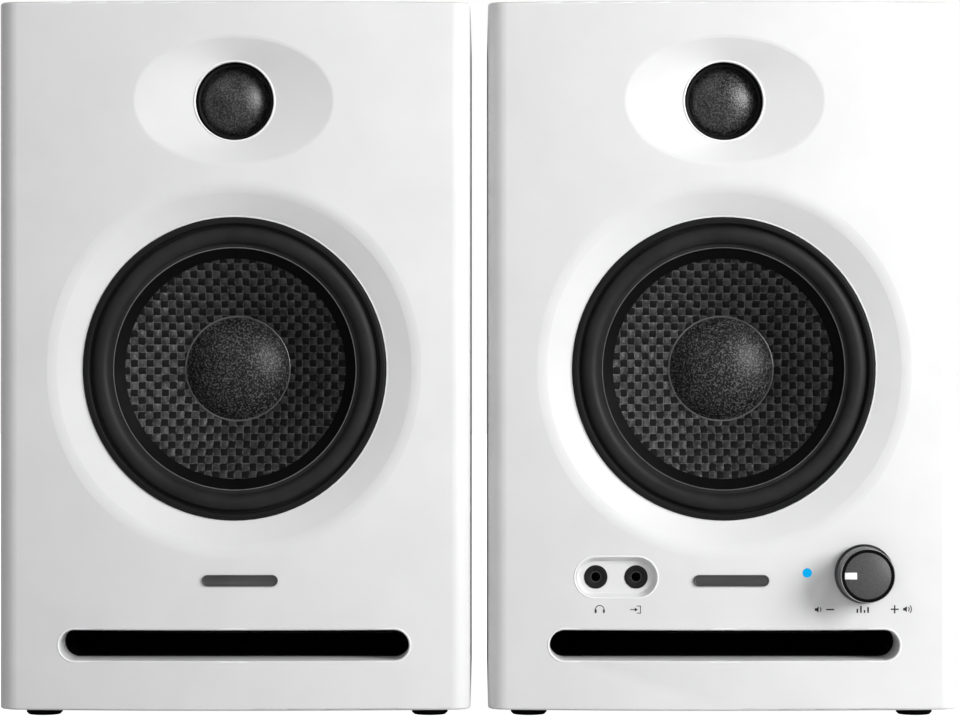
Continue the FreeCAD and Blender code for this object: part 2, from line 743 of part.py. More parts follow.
def woofer(side):
    """A 100 mm woofer: everything turned about its own axis."""

    def part(name, steps, cuts=()):
        solid = turned(steps, 0, WOOFER_Z)
        keep(side, name, cut_all(solid, list(cuts)))

    seat = DRIVER_SEAT_Y
    ring_front = seat - RING_PROUD
    part(
        "woofer_trim_ring",
        [
            (RING_INNER, seat),
            (RING_INNER, ring_front + 0.6),
            (RING_INNER + 0.4, ring_front),
            (RING_OUTER - 0.8, ring_front),
            (RING_OUTER, ring_front + 0.8),
            (RING_OUTER, seat),
        ],
    )

    # The rubber surround: a half roll between the basket's flange and the cone's edge.
    roll_y = seat - RUBBER / 2
    flat_y = seat - RUBBER
    drop = RUBBER / 2
    outer_roll = math.sqrt(ROLL_RADIUS**2 - drop**2)
    inner_radius = ROLL_RADIUS - RUBBER
    inner_roll = math.sqrt(inner_radius**2 - drop**2)
    lip = 0.5
    back_y = cone_front_y(CONE_EDGE) - GLUE_LINE
    toe_y = cone_front_y(CONE_RIM_INNER) - GLUE_LINE
    part(
        "woofer_surround",
        [
            (RING_INNER - GLUE_LINE, seat),
            (RING_INNER - GLUE_LINE, flat_y),
            (ROLL_CENTRE + outer_roll, flat_y),
            ((ROLL_CENTRE, roll_y - ROLL_RADIUS), (ROLL_CENTRE - outer_roll, flat_y)),
            (CONE_EDGE, flat_y),
            (CONE_EDGE, back_y - lip),
            (CONE_RIM_INNER, toe_y - lip),
            (CONE_RIM_INNER, toe_y),
            (CONE_EDGE, back_y),
            (CONE_EDGE + 0.2, seat),
            (ROLL_CENTRE - inner_roll, seat),
            ((ROLL_CENTRE, roll_y - inner_radius), (ROLL_CENTRE + inner_roll, seat)),
        ],
    )

    neck = COIL_RADIUS + 0.5
    neck_rear = cone_front_y(neck) + NECK_LENGTH
    part(
        "woofer_cone",
        [
            (CONE_EDGE, cone_front_y(CONE_EDGE)),
            (neck, cone_front_y(neck)),
            (COIL_RADIUS, cone_front_y(neck)),
            (COIL_RADIUS, neck_rear),
            (neck, neck_rear),
            (neck, cone_front_y(neck) + CONE_THICK),
            (CONE_EDGE, cone_front_y(CONE_EDGE) + CONE_THICK),
        ],
    )

    cap = DUST_CAP_RADIUS
    cap_edge = cone_front_y(cap) - DUST_CAP_WALL
    cap_top = cap_edge - DUST_CAP_HEIGHT
    bore = cap - 2 * DUST_CAP_WALL
    inner_via, inner_top = dome_arc(bore, cone_front_y(bore), cap_top + DUST_CAP_WALL)
    part(
        "woofer_dust_cap",
        [
            (cap + 0.7, cone_front_y(cap + 0.7)),
            (cap + 0.7, cone_front_y(cap + 0.7) - DUST_CAP_WALL),
            (cap, cap_edge),
            dome_arc(cap, cap_edge, cap_top),
            inner_top,
            (inner_via, (bore, cone_front_y(bore))),
        ],
    )

    former = COIL_RADIUS - FORMER_WALL
    wind = COIL_RADIUS + WINDING
    gap_middle = BASKET_REAR_Y + TOP_PLATE / 2
    part(
        "woofer_voice_coil",
        [
            (former, cone_front_y(neck)),
            (COIL_RADIUS, cone_front_y(neck)),
            (COIL_RADIUS, gap_middle - WINDING_HALF_LENGTH),
            (wind, gap_middle - WINDING_HALF_LENGTH),
            (wind, gap_middle + WINDING_HALF_LENGTH),
            (COIL_RADIUS, gap_middle + WINDING_HALF_LENGTH),
            (COIL_RADIUS, COIL_REAR_Y),
            (former, COIL_REAR_Y),
        ],
    )

    # The corrugated centring spider: waves between two flats.
    inner = COIL_RADIUS + GLUE_LINE
    first, last = inner + 1.5, SPIDER_OUTER - SPIDER_LAND
    pitch = (last - first) / SPIDER_WAVES
    rear_y = SPIDER_Y + SPIDER_WALL

    def waves(y, outward):
        steps = []
        for k in range(SPIDER_WAVES):
            start = first + k * pitch
            crest = (start + pitch * 0.25, y - SPIDER_WAVE_HEIGHT)
            trough = (start + pitch * 0.75, y + SPIDER_WAVE_HEIGHT)
            middle = (start + pitch * 0.5, y)
            if outward:
                steps += [(crest, middle), (trough, (start + pitch, y))]
            else:
                steps = [(trough, middle), (crest, (start, y))] + steps
        return steps

    part(
        "woofer_spider",
        [(inner, SPIDER_Y), (first, SPIDER_Y)]
        + waves(SPIDER_Y, True)
        + [(SPIDER_OUTER, SPIDER_Y), (SPIDER_OUTER, rear_y), (last, rear_y)]
        + waves(rear_y, False)
        + [(inner, rear_y)],
    )

    # The pressed-steel basket: flange, sloping wall with four windows, spider ledge and rear plate.
    ledge_y = rear_y
    ledge_in, ledge_out = SPIDER_OUTER - SPIDER_LAND + 0.3, SPIDER_OUTER + 1.2
    throat = RING_INNER - 2.5
    flange_rear = seat + FLANGE_THICK
    slabs = []
    for turn in (0, 90):
        half = BASKET_WINDOW / 2
        slab = block(-half, half, flange_rear + 3, ledge_y - 2.5, -FLANGE_RADIUS, FLANGE_RADIUS)
        slab.rotate(vec(0, 0, 0), DEPTH_AXIS, turn)
        slab.translate(vec(0, 0, WOOFER_Z))
        slabs.append(slab)
    holes = [screw_hole(x, seat - 1, flange_rear + 1, z) for x, z in woofer_screw_places()]
    part(
        "woofer_basket",
        [
            (throat, seat),
            (FLANGE_RADIUS, seat),
            (FLANGE_RADIUS, flange_rear),
            (throat + BASKET_WALL + 0.4, flange_rear),
            (ledge_out + BASKET_WALL, ledge_y + BASKET_WALL),
            (ledge_in + BASKET_WALL, ledge_y + BASKET_WALL + 0.8),
            (ledge_in + BASKET_WALL, BASKET_REAR_Y),
            (COIL_RADIUS + 2.0, BASKET_REAR_Y),
            (COIL_RADIUS + 2.0, BASKET_REAR_Y - BASKET_WALL),
            (ledge_in, BASKET_REAR_Y - BASKET_WALL),
            (ledge_in, ledge_y),
            (ledge_out, ledge_y),
            (throat, flange_rear),
        ],
        slabs + holes,
    )

    plate_rear = BASKET_REAR_Y + TOP_PLATE
    magnet_rear = plate_rear + MAGNET_LENGTH
    plate_radius = MAGNET_RADIUS - PLATE_INSET
    pole = COIL_RADIUS - FORMER_WALL - POLE_GAP
    top_plate = tube(
        plate_radius, wind + COIL_GAP, BASKET_REAR_Y, plate_rear, 0, WOOFER_Z
    )
    yoke = turned(
        [
            (0, BASKET_REAR_Y),
            (pole, BASKET_REAR_Y),
            (pole, magnet_rear),
            (plate_radius, magnet_rear),
            (plate_radius, magnet_rear + BACK_PLATE - 1),
            (plate_radius - 1, magnet_rear + BACK_PLATE),
            (0, magnet_rear + BACK_PLATE),
        ],
        0,
        WOOFER_Z,
    )
    keep(side, "woofer_motor_plates", [top_plate, yoke])
    keep(side, "woofer_magnet", tube(MAGNET_RADIUS, pole + 4.5, plate_rear, magnet_rear, 0, WOOFER_Z))


# ================================================================ the tweeter
def tweeter(side):
    seat = DRIVER_SEAT_Y
    rear = seat + TWEETER_FLANGE_THICK
    cup_front = rear + 0.7
    coil = TWEETER_COIL_RADIUS
    flange = turned(
        [
            (THROAT_RADIUS + 0.1, seat),
            (TWEETER_FLANGE_RADIUS, seat),
            (TWEETER_FLANGE_RADIUS, rear),
            (TWEETER_CUP_RADIUS, rear),
            (TWEETER_CUP_RADIUS, cup_front),
            (TWEETER_CUP_RADIUS - 2.6, cup_front),
            (TWEETER_CUP_RADIUS - 2.6, rear),
            (THROAT_RADIUS + 0.1, rear),
        ],
        0,
        TWEETER_Z,
    )
    holes = [screw_hole(x, seat - 1, rear + 1, z) for x, z in tweeter_screw_places()]
    keep(side, "tweeter_flange", flange.cut(holes))

    roll_in, roll_out = coil + 0.1, THROAT_RADIUS - 0.05
    middle, skin, height = (roll_in + roll_out) / 2, 0.25, 0.8
    keep(
        side,
        "tweeter_surround",
        turned(
            [
                (TWEETER_CUP_RADIUS - 2.8, rear + 0.05),
                (roll_out, rear + 0.05),
                ((middle, rear - height), (roll_in, rear + 0.05)),
                (roll_in, rear + 0.05 + skin),
                (roll_in + skin, rear + 0.05 + skin),
                ((middle, rear - height + skin), (roll_out - skin, rear + 0.05 + skin)),
                (TWEETER_CUP_RADIUS - 2.8, rear + 0.05 + skin),
            ],
            0,
            TWEETER_Z,
        ),
    )

    wall = TWEETER_SKIN
    top = rear + 0.1 - TWEETER_DOME_HEIGHT
    inner_via, inner_top = dome_arc(coil - wall, rear + 0.1, top + wall)
    dome = turned(
        [
            (coil, rear + 0.4),
            (coil, rear + 0.1),
            dome_arc(coil, rear + 0.1, top),
            inner_top,
            (inner_via, (coil - wall, rear + 0.1)),
            (coil - wall, rear + 0.4),
        ],
        0,
        TWEETER_Z,
    )
    former = tube(coil, coil - wall, rear + 0.4, cup_front + 4.2, 0, TWEETER_Z)
    keep(side, "tweeter_dome", [dome, former])

    washer = TWEETER_WASHER
    cup_depth = TWEETER_CUP_DEPTH
    cup = turned(
        [
            (coil + 0.45, cup_front),
            (TWEETER_CUP_RADIUS, cup_front),
            (TWEETER_CUP_RADIUS, cup_front + cup_depth - 1),
            (TWEETER_CUP_RADIUS - 1, cup_front + cup_depth),
            (0, cup_front + cup_depth),
            (0, cup_front + cup_depth - washer),
            (TWEETER_CUP_RADIUS - 3, cup_front + cup_depth - washer),
            (TWEETER_CUP_RADIUS - 3, cup_front + washer),
            (coil + 0.45, cup_front + washer),
        ],
        0,
        TWEETER_Z,
    )
    pole = coil - wall - POLE_GAP
    slug = rod(pole - 0.8, cup_front + washer, cup_front + cup_depth - washer, 0, TWEETER_Z)
    pole_plate = rod(pole, cup_front, cup_front + washer, 0, TWEETER_Z)
    keep(side, "tweeter_motor", [cup, slug, pole_plate])


# ================================================================ wire terminals and their clips
CLIP_PIVOT_Y = CABINET_DEPTH + REAR_PROUD - CLIP_PIVOT_INSET
CLIP_PIVOT_Z = TERMINAL_Z + CLIP_PIVOT_RISE


def terminal_screw_places():
    for x in (-1, 1):
        for z in (-1, 1):
            yield (
                x * (TERMINAL_FLANGE_WIDTH / 2 - TERMINAL_SCREW_INSET),
                TERMINAL_Z + z * (TERMINAL_FLANGE_HEIGHT / 2 - TERMINAL_SCREW_INSET),
            )


def clip(x):
    """A spring lever: a tilted paddle on a stub pin, with a ridge for the finger."""
    half = CLIP_WIDTH / 2
    thick = CLIP_THICK / 2
    paddle = block(x - half, x + half, -thick, thick, -CLIP_LENGTH, thick)
    ridge_top = CLIP_RIDGE_WIDTH - CLIP_LENGTH
    ridge = block(x - half, x + half, thick, thick + CLIP_RIDGE_RISE, -CLIP_LENGTH, ridge_top)
    reach = half + CLIP_SIDE_GAP + CLIP_PIN_BITE
    pin = Part.makeCylinder(CLIP_PIN_RADIUS, 2 * reach, vec(x - reach, 0, 0), WIDTH_AXIS)
    solid = fused([paddle, ridge, pin])
    solid.rotate(vec(0, 0, 0), WIDTH_AXIS, CLIP_TILT)
    solid.translate(vec(0, CLIP_PIVOT_Y, CLIP_PIVOT_Z))
    return solid


def terminals(side):
    rear = CABINET_DEPTH + REAR_PROUD - TERMINAL_BODY_INSET
    half_w, half_h = TERMINAL_WIDTH / 2, TERMINAL_HEIGHT / 2
    flange = soft_block(
        -TERMINAL_FLANGE_WIDTH / 2,
        TERMINAL_FLANGE_WIDTH / 2,
        CABINET_DEPTH,
        CABINET_DEPTH + TERMINAL_FLANGE_THICK,
        TERMINAL_Z - TERMINAL_FLANGE_HEIGHT / 2,
        TERMINAL_Z + TERMINAL_FLANGE_HEIGHT / 2,
        3.0,
    )
    body = soft_block(
        -half_w,
        half_w,
        CABINET_DEPTH - TERMINAL_INNER,
        rear,
        TERMINAL_Z - half_h,
        TERMINAL_Z + half_h,
        1.5,
    )
    cuts = []
    for turn in (-1, 1):
        x = turn * CLIP_OFFSET
        half = CLIP_WIDTH / 2 + CLIP_SIDE_GAP
        pocket_y = CLIP_PIVOT_Y - CLIP_POCKET_DEPTH
        bottom = CLIP_PIVOT_Z - CLIP_LENGTH - CLIP_RIDGE_RISE
        top = CLIP_PIVOT_Z + CLIP_THICK / 2 + 1.0
        cuts.append(block(x - half, x + half, pocket_y, rear + 1, bottom, top))
        reach = half + CLIP_PIN_BITE + 0.2
        cuts.append(
            Part.makeCylinder(
                CLIP_PIN_RADIUS + SHAFT_CLEARANCE,
                2 * reach,
                vec(x - reach, CLIP_PIVOT_Y, CLIP_PIVOT_Z),
                WIDTH_AXIS,
            )
        )
        cuts.append(
            rod(
                WIRE_HOLE_RADIUS,
                rear - WIRE_HOLE_LENGTH,
                rear + 1,
                x,
                TERMINAL_Z - half_h + WIRE_HOLE_RISE,
            )
        )
    for x, z in terminal_screw_places():
        cuts.append(screw_hole(x, CABINET_DEPTH - 1, CABINET_DEPTH + 3, z))
    keep(side, "terminal_block", fused([flange, body]).cut(cuts))
    keep(side, "red_clip", clip(-CLIP_OFFSET))
    keep(side, "black_clip", clip(CLIP_OFFSET))


# ================================================================ front controls of the right speaker
def volume_knob():
    """The knob, its shaft, and the encoder that they turn and press."""
    base, face = KNOB_BASE_RADIUS, KNOB_FACE_RADIUS
    front = -KNOB_LENGTH
    hub = SHAFT_RADIUS + 1.6
    bore_end = front + 2.6
    hollow = base - KNOB_WALL
    solid = turned(
        [
            (0.0, front),
            (face - KNOB_CHAMFER, front),
            (face, front + KNOB_CHAMFER),
            (base - 0.5, -1.6),
            (base, -1.2),
            (base, 0.0),
            (hollow, 0.0),
            (hollow - 0.8, front + 3.4),
            (hub, front + 3.4),
            (hub, -0.6),
            (SHAFT_RADIUS, -0.6),
            (SHAFT_RADIUS, bore_end),
            (0.0, bore_end),
        ],
        KNOB_X,
        KNOB_Z,
    )
    edge = KNOB_X - face + KNOB_CHAMFER
    notch = block(
        edge - 1,
        edge + POINTER_LENGTH,
        front - 1,
        front + POINTER_SINK,
        KNOB_Z - POINTER_WIDTH / 2,
        KNOB_Z + POINTER_WIDTH / 2,
    )
    keep("right", "volume_knob", solid.cut(notch))

    body_front = CONTROL_BOARD_Y - ENCODER_DEPTH
    rotor_front, rotor_rear = body_front + 1.5, body_front + 4.5
    rotor_radius = SHAFT_RADIUS + ROTOR_WALL
    shaft_rear = CONTROL_BOARD_Y - 1.6
    keep("right", "volume_shaft", rod(SHAFT_RADIUS, bore_end, shaft_rear, KNOB_X, KNOB_Z))
    keep(
        "right",
        "encoder_rotor",
        tube(rotor_radius, SHAFT_RADIUS + SHAFT_CLEARANCE, rotor_front, rotor_rear, KNOB_X, KNOB_Z),
    )
    half = ENCODER / 2
    case = soft_block(
        KNOB_X - half, KNOB_X + half, body_front, CONTROL_BOARD_Y, KNOB_Z - half, KNOB_Z + half, 0.8
    )
    bushing = rod(BUSHING_RADIUS, 2.6, body_front + 0.5, KNOB_X, KNOB_Z)
    cuts = [
        rod(SHAFT_RADIUS + SHAFT_CLEARANCE, 0, shaft_rear + PUSH_TRAVEL + 0.3, KNOB_X, KNOB_Z),
        rod(
            rotor_radius + SHAFT_CLEARANCE,
            rotor_front - 0.1,
            rotor_rear + 0.1,
            KNOB_X,
            KNOB_Z,
        ),
    ]
    keep("right", "volume_encoder", fused([case, bushing]).cut(cuts))


def front_jacks():
    """Two 3.5 mm sockets: a round nose in the well, and a square body on the control board."""
    nose_front = bow(WELL_X) + WELL_DEPTH - 0.2
    body_front = bow(WELL_X) + WELL_DEPTH + 3.2
    half = JACK_BODY / 2
    solids = []
    for x, z in jack_places():
        body = soft_block(x - half, x + half, body_front, CONTROL_BOARD_Y, z - half, z + half, 0.6)
        solid = fused([rod(JACK_NOSE_RADIUS, nose_front, body_front + 1, x, z), body])
        mouth = turned(
            [
                (0, nose_front - 0.1),
                (JACK_BORE_RADIUS + 1.0, nose_front - 0.1),
                (JACK_BORE_RADIUS + 1.0, nose_front + 0.3),
                (JACK_BORE_RADIUS, nose_front + 0.5),
                (JACK_BORE_RADIUS, nose_front + 0.5 + JACK_BORE_LENGTH),
                (0, nose_front + 0.5 + JACK_BORE_LENGTH),
            ],
            x,
            z,
        )
        solids.append(solid.cut(mouth))
    keep("right", "front_jacks", solids)


def control_board():
    front, rear = CONTROL_BOARD_Y, CONTROL_BOARD_Y + PCB
    z0, z1 = WELL_Z - 9, KNOB_Z + 8
    solid = block(WELL_X - 14, KNOB_X + 9, front, rear, z0, z1)
    holes = [screw_hole(x, front - 1, rear + 1, z) for x, z in board_screw_places()]
    chips = [
        block(-6, 2, rear, rear + 1.2, KNOB_Z - 6, KNOB_Z + 2),
        block(20, 32, rear, rear + 5, KNOB_Z - 8, KNOB_Z - 3),
    ]
    keep("right", "control_board", fused([solid.cut(holes)] + chips))
    lens = turned(
        [
            (0, bow(LED_X) - 0.35),
            (LED_RADIUS - 0.5, bow(LED_X) - 0.3),
            (LED_RADIUS, bow(LED_X) + 0.1),
            (LED_RADIUS, CONTROL_BOARD_Y),
            (0, CONTROL_BOARD_Y),
        ],
        LED_X,
        LED_Z,
    )
    keep("right", "status_led", lens)


# ================================================================ rear electronics of the right speaker
def plate_screw_places():
    inside_x = HALF_WIDTH - BOARD - CLEAT / 2
    z0 = FLOOR_TO_CABINET + BOARD + CLEAT / 2
    z1 = CABINET_TOP - BOARD - CLEAT / 2
    for x in (-inside_x, inside_x):
        for z in (z0, (z0 + z1) / 2, z1):
            yield x, z
    for z in (z0, z1):
        yield 0.0, z


def power_module_box(grow, y0, y1):
    half_w, half_h = POWER_WIDTH / 2 + grow, POWER_HEIGHT / 2 + grow
    return soft_block(-half_w, half_w, y0, y1, POWER_Z - half_h, POWER_Z + half_h, 2.0)


def amp_plate():
    half_w = HALF_WIDTH - BOARD - PLATE_CLEARANCE
    z0 = FLOOR_TO_CABINET + BOARD + PLATE_CLEARANCE
    z1 = CABINET_TOP - BOARD - PLATE_CLEARANCE
    front, rear = CABINET_DEPTH - AMP_PLATE, CABINET_DEPTH
    half_t = TERMINAL_WIDTH / 2 + PLATE_CLEARANCE
    tall_t = TERMINAL_HEIGHT / 2 + PLATE_CLEARANCE
    cuts = [
        block(-half_t, half_t, front - 1, rear + 1, TERMINAL_Z - tall_t, TERMINAL_Z + tall_t),
        power_module_box(PLATE_CLEARANCE - POWER_FLANGE_OVERLAP, front - 1, rear + 1),
    ]
    for x, z in list(plate_screw_places()) + list(terminal_screw_places()):
        cuts.append(screw_hole(x, front - 1, rear + 1, z))
    for turn in (-1, 1):
        cuts.append(rod(RCA_BARREL_RADIUS + 0.35, front - 1, rear + 1, turn * RCA_OFFSET, RCA_Z))
        cuts.append(rod(STEM_HOLE_RADIUS, front - 1, rear + 1, turn * TONE_KNOB_OFFSET, TONE_KNOB_Z))
    keep("right", "amp_plate", soft_block(-half_w, half_w, front, rear, z0, z1, 1.0).cut(cuts))


def power_module():
    """The mains inlet and the switch frame in one moulding, with the rocker on its own pivot."""
    rear = CABINET_DEPTH
    flange_rear = rear + POWER_FLANGE_THICK
    inner = rear - AMP_PLATE - POWER_BODY_DEPTH
    solid = fused(
        [power_module_box(0.0, rear, flange_rear), power_module_box(-POWER_FLANGE_OVERLAP, inner, rear)]
    )
    floor, half = flange_rear - INLET_DEPTH, INLET_PIN_PITCH / 2
    lobes = [
        rod(INLET_LOBE_RADIUS, floor, flange_rear + 1, INLET_X + turn * half, POWER_Z) for turn in (-1, 1)
    ]
    x0, x1 = INLET_X - half, INLET_X + half
    neck = block(x0, x1, floor, flange_rear + 1, POWER_Z - INLET_NECK / 2, POWER_Z + INLET_NECK / 2)
    half_w, half_h = ROCKER_WIDTH / 2 + ROCKER_GAP, ROCKER_HEIGHT / 2 + ROCKER_GAP
    x0, x1 = ROCKER_X - half_w, ROCKER_X + half_w
    well_y = rear - ROCKER_WELL_DEPTH
    well = block(x0, x1, well_y, flange_rear + 1, POWER_Z - half_h, POWER_Z + half_h)
    pivot_y = rear - ROCKER_PIVOT_INSET
    bore_end = ROCKER_HEIGHT / 2 + ROCKER_PIN_BITE + 0.5
    bore = Part.makeCylinder(
        ROCKER_PIN_RADIUS + SHAFT_CLEARANCE,
        2 * bore_end,
        vec(ROCKER_X, pivot_y, POWER_Z - bore_end),
        vec(0, 0, 1),
    )
    solid = solid.cut(lobes + [neck, well, bore])
    pins = [
        rod(INLET_PIN_RADIUS, floor - 0.5, rear - 1, INLET_X + turn * half, POWER_Z) for turn in (-1, 1)
    ]
    keep("right", "power_inlet", fused([solid] + pins))

    half = ROCKER_WIDTH / 2 - 0.4
    rise = ROCKER_RISE
    face = outline(
        [(-half, rise), ((0.0, rise - 1.5), (half, rise)), (half, -1.0), (2.4, -3.6), (-2.4, -3.6), (-half, -1.0)],
        lambda p: vec(p[0], p[1], -ROCKER_HEIGHT / 2),
    )
    paddle = Part.Face(face).extrude(vec(0, 0, ROCKER_HEIGHT))
    pin_end = ROCKER_HEIGHT / 2 + ROCKER_PIN_BITE
    pin = Part.makeCylinder(ROCKER_PIN_RADIUS, 2 * pin_end, vec(0, 0, -pin_end), vec(0, 0, 1))
    rocker = fused([paddle, pin])
    rocker.rotate(vec(0, 0, 0), vec(0, 0, 1), -ROCKER_TILT)
    rocker.translate(vec(ROCKER_X, pivot_y, POWER_Z))
    keep("right", "power_switch", rocker)


def tone_knob(name, x):
    """A small fluted knob moulded with its stem, which turns in the control behind the plate."""
    rear = CABINET_DEPTH + REAR_PROUD
    base = CABINET_DEPTH + 1.0
    solid = turned(
        [
            (0, base),
            (TONE_KNOB_RADIUS, base),
            (TONE_KNOB_RADIUS - 0.5, rear - 0.6),
            (TONE_KNOB_RADIUS - 1.1, rear),
            (0, rear),
        ],
        x,
        TONE_KNOB_Z,
    )
    stem = rod(STEM_RADIUS, TONE_STEM_END, base + 0.5, x, TONE_KNOB_Z)
    flutes = []
    for k in range(FLUTE_COUNT):
        turn = math.tau * (k + 0.5) / FLUTE_COUNT
        r = TONE_KNOB_RADIUS + 0.25
        flute_x, flute_z = x + r * math.cos(turn), TONE_KNOB_Z + r * math.sin(turn)
        flutes.append(rod(FLUTE_RADIUS, base + 1.5, rear + 1, flute_x, flute_z))
    mark = block(x - 0.45, x + 0.45, rear - 0.4, rear + 1, TONE_KNOB_Z + 1.2, TONE_KNOB_Z + 5)
    keep("right", name, fused([solid, stem]).cut(flutes + [mark]))


def rca_jacks():
    """The two line inputs: a barrel and centre insulator each, on one moulded block behind the plate."""
    front = AMP_BOARD_Y + PCB
    plate_front = CABINET_DEPTH - AMP_PLATE
    half_w, half_h = RCA_BLOCK_HALF_WIDTH, RCA_BLOCK_HALF_HEIGHT
    body = soft_block(-half_w, half_w, front, plate_front, RCA_Z - half_h, RCA_Z + half_h, 1.5)
    pieces = [body]
    cuts = []
    for turn in (-1, 1):
        x = turn * RCA_OFFSET
        tip = CABINET_DEPTH + RCA_BARREL_LENGTH
        pieces.append(rod(RCA_BARREL_RADIUS, plate_front - 1, tip, x, RCA_Z))
        cuts.append(tube(RCA_BARREL_RADIUS - 0.7, RCA_PIN_BORE + 0.95, tip - RCA_PIN_DEPTH, tip + 1, x, RCA_Z))
        cuts.append(rod(RCA_PIN_BORE, tip - RCA_PIN_DEPTH, tip + 1, x, RCA_Z))
    keep("right", "rca_jacks", fused(pieces).cut(cuts))


def amplifier():
    """The amplifier board with its tone controls, the heat sink on its front, and the power supply."""
    front, rear = AMP_BOARD_Y, AMP_BOARD_Y + PCB
    half = AMP_BOARD_HALF_WIDTH
    board = block(-half, half, front, rear, AMP_BOARD_BOTTOM, AMP_BOARD_TOP)
    pots = []
    cuts = []
    for turn in (-1, 1):
        x = turn * TONE_KNOB_OFFSET
        x0, x1 = x - POT_HALF_WIDTH, x + POT_HALF_WIDTH
        z1 = TONE_KNOB_Z + POT_HALF_WIDTH
        pots.append(block(x0, x1, rear, rear + POT_DEPTH, z1 - POT_HEIGHT, z1))
        stem_end = TONE_STEM_END - 0.2
        cuts.append(rod(STEM_RADIUS + SHAFT_CLEARANCE, stem_end, rear + POT_DEPTH + 1, x, TONE_KNOB_Z))
    caps = [
        rod(CAPACITOR_RADIUS, front - CAPACITOR_LENGTH, front, x, CAPACITOR_Z)
        for x in (-CAPACITOR_X, CAPACITOR_X)
    ]
    chip_front = front - CHIP_THICK
    chip = block(
        -CHIP_WIDTH / 2, CHIP_WIDTH / 2, chip_front, front, CHIP_Z - CHIP_HEIGHT / 2, CHIP_Z + CHIP_HEIGHT / 2
    )
    keep("right", "amp_board", fused([board, chip] + pots + caps).cut(cuts))

    half = HEAT_SINK_HALF_WIDTH
    fin_root = chip_front - HEAT_SINK_BASE
    base = block(-half, half, fin_root, chip_front, HEAT_SINK_BOTTOM, HEAT_SINK_TOP)
    fins = []
    for k in range(FIN_COUNT):
        x = -half + k * FIN_PITCH
        fins.append(
            block(x, x + FIN_THICK, fin_root - FIN_LENGTH, fin_root + 0.5, HEAT_SINK_BOTTOM, HEAT_SINK_TOP)
        )
    keep("right", "heat_sink", fused([base] + fins))

    def centred(width, y0, y1, height):
        return block(
            -width / 2, width / 2, y0, y1, TRANSFORMER_Z - height / 2, TRANSFORMER_Z + height / 2
        )

    half = SUPPLY_HALF_WIDTH
    supply_y = front - SUPPLY_SETBACK
    supply = block(-half, half, supply_y, supply_y + PCB, SUPPLY_BOTTOM, SUPPLY_TOP)
    windings = centred(WINDING_WIDTH, supply_y - WINDING_DEPTH, supply_y, WINDING_HEIGHT)
    core_rear = supply_y - CORE_GAP
    core = centred(CORE_WIDTH, core_rear - CORE_DEPTH, core_rear, CORE_HEIGHT)
    cans = [
        rod(RESERVOIR_RADIUS, supply_y - RESERVOIR_LENGTH, supply_y, x, TRANSFORMER_Z)
        for x in (-RESERVOIR_X, RESERVOIR_X)
    ]
    keep("right", "power_supply", fused([supply, windings, core] + cans))


def crossover():
    """The passive speaker's filter: a small board with its capacitor and coil, behind the terminals."""
    rear = CABINET_DEPTH - BOARD
    board_y = rear - CROSSOVER_STANDOFF
    half_w, half_h = CROSSOVER_HALF_WIDTH, CROSSOVER_HALF_HEIGHT
    board = block(-half_w, half_w, board_y, board_y + PCB, CROSSOVER_Z - half_h, CROSSOVER_Z + half_h)
    posts = []
    for x in (-1, 1):
        for z in (-1, 1):
            post_x = x * (half_w - CROSSOVER_POST_INSET)
            post_z = CROSSOVER_Z + z * (half_h - CROSSOVER_POST_INSET)
            half = CROSSOVER_POST / 2
            posts.append(
                block(post_x - half, post_x + half, board_y + PCB, rear, post_z - half, post_z + half)
            )
    coil = tube(COIL_OUTER, COIL_BORE, board_y - COIL_LENGTH, board_y, -FILTER_OFFSET, CROSSOVER_Z)
    can = rod(FILTER_CAN_RADIUS, board_y - FILTER_CAN_LENGTH, board_y, FILTER_OFFSET, CROSSOVER_Z)
    keep("left", "crossover", fused([board, coil, can] + posts))


def screws(side):
    """Every fastener of one speaker."""
    found = []
    for x, z in woofer_screw_places():
        found.append(screw(x, DRIVER_SEAT_Y + FLANGE_THICK, z, FLANGE_THICK + WOOFER_SCREW_BITE))
    for x, z in tweeter_screw_places():
        length = TWEETER_FLANGE_THICK + TWEETER_SCREW_BITE
        found.append(screw(x, DRIVER_SEAT_Y + TWEETER_FLANGE_THICK, z, length))
    long = 8.0 if side == "left" else 6.0
    for x, z in terminal_screw_places():
        found.append(screw(x, CABINET_DEPTH + 2, z, long))
    if side == "right":
        for x, z in plate_screw_places():
            found.append(screw(x, CABINET_DEPTH, z, AMP_PLATE + 7.0))
        for x, z in board_screw_places():
            found.append(screw(x, CONTROL_BOARD_Y + PCB, z, PCB + 6.0))
    keep(side, "screws", found)


def main():
    for side in ("left", "right"):
        front_baffle(side)
        cabinet(side)
        feet(side)
        port_duct(side)
        woofer(side)
        tweeter(side)
        terminals(side)
        screws(side)
    volume_knob()
    front_jacks()
    control_board()
    amp_plate()
    power_module()
    tone_knob("treble_knob", -TONE_KNOB_OFFSET)
    tone_knob("bass_knob", TONE_KNOB_OFFSET)
    rca_jacks()
    amplifier()
    crossover()
    os.makedirs("parts", exist_ok=True)
    for name, shape in PARTS.items():
        shape.exportStep(f"parts/{name}.step")


main()
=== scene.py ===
"""The looks of a pair of desktop speakers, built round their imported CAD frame.

Sizes are in millimetres, and MM turns them into metres as a piece is made. Every place comes from the frame's
own nodes. The depth axis is Y and the front faces -Y. A turned piece's section is a list of (radius, depth)
points, with the depth counted from the plane that its driver is screwed against.
"""

import json
import math

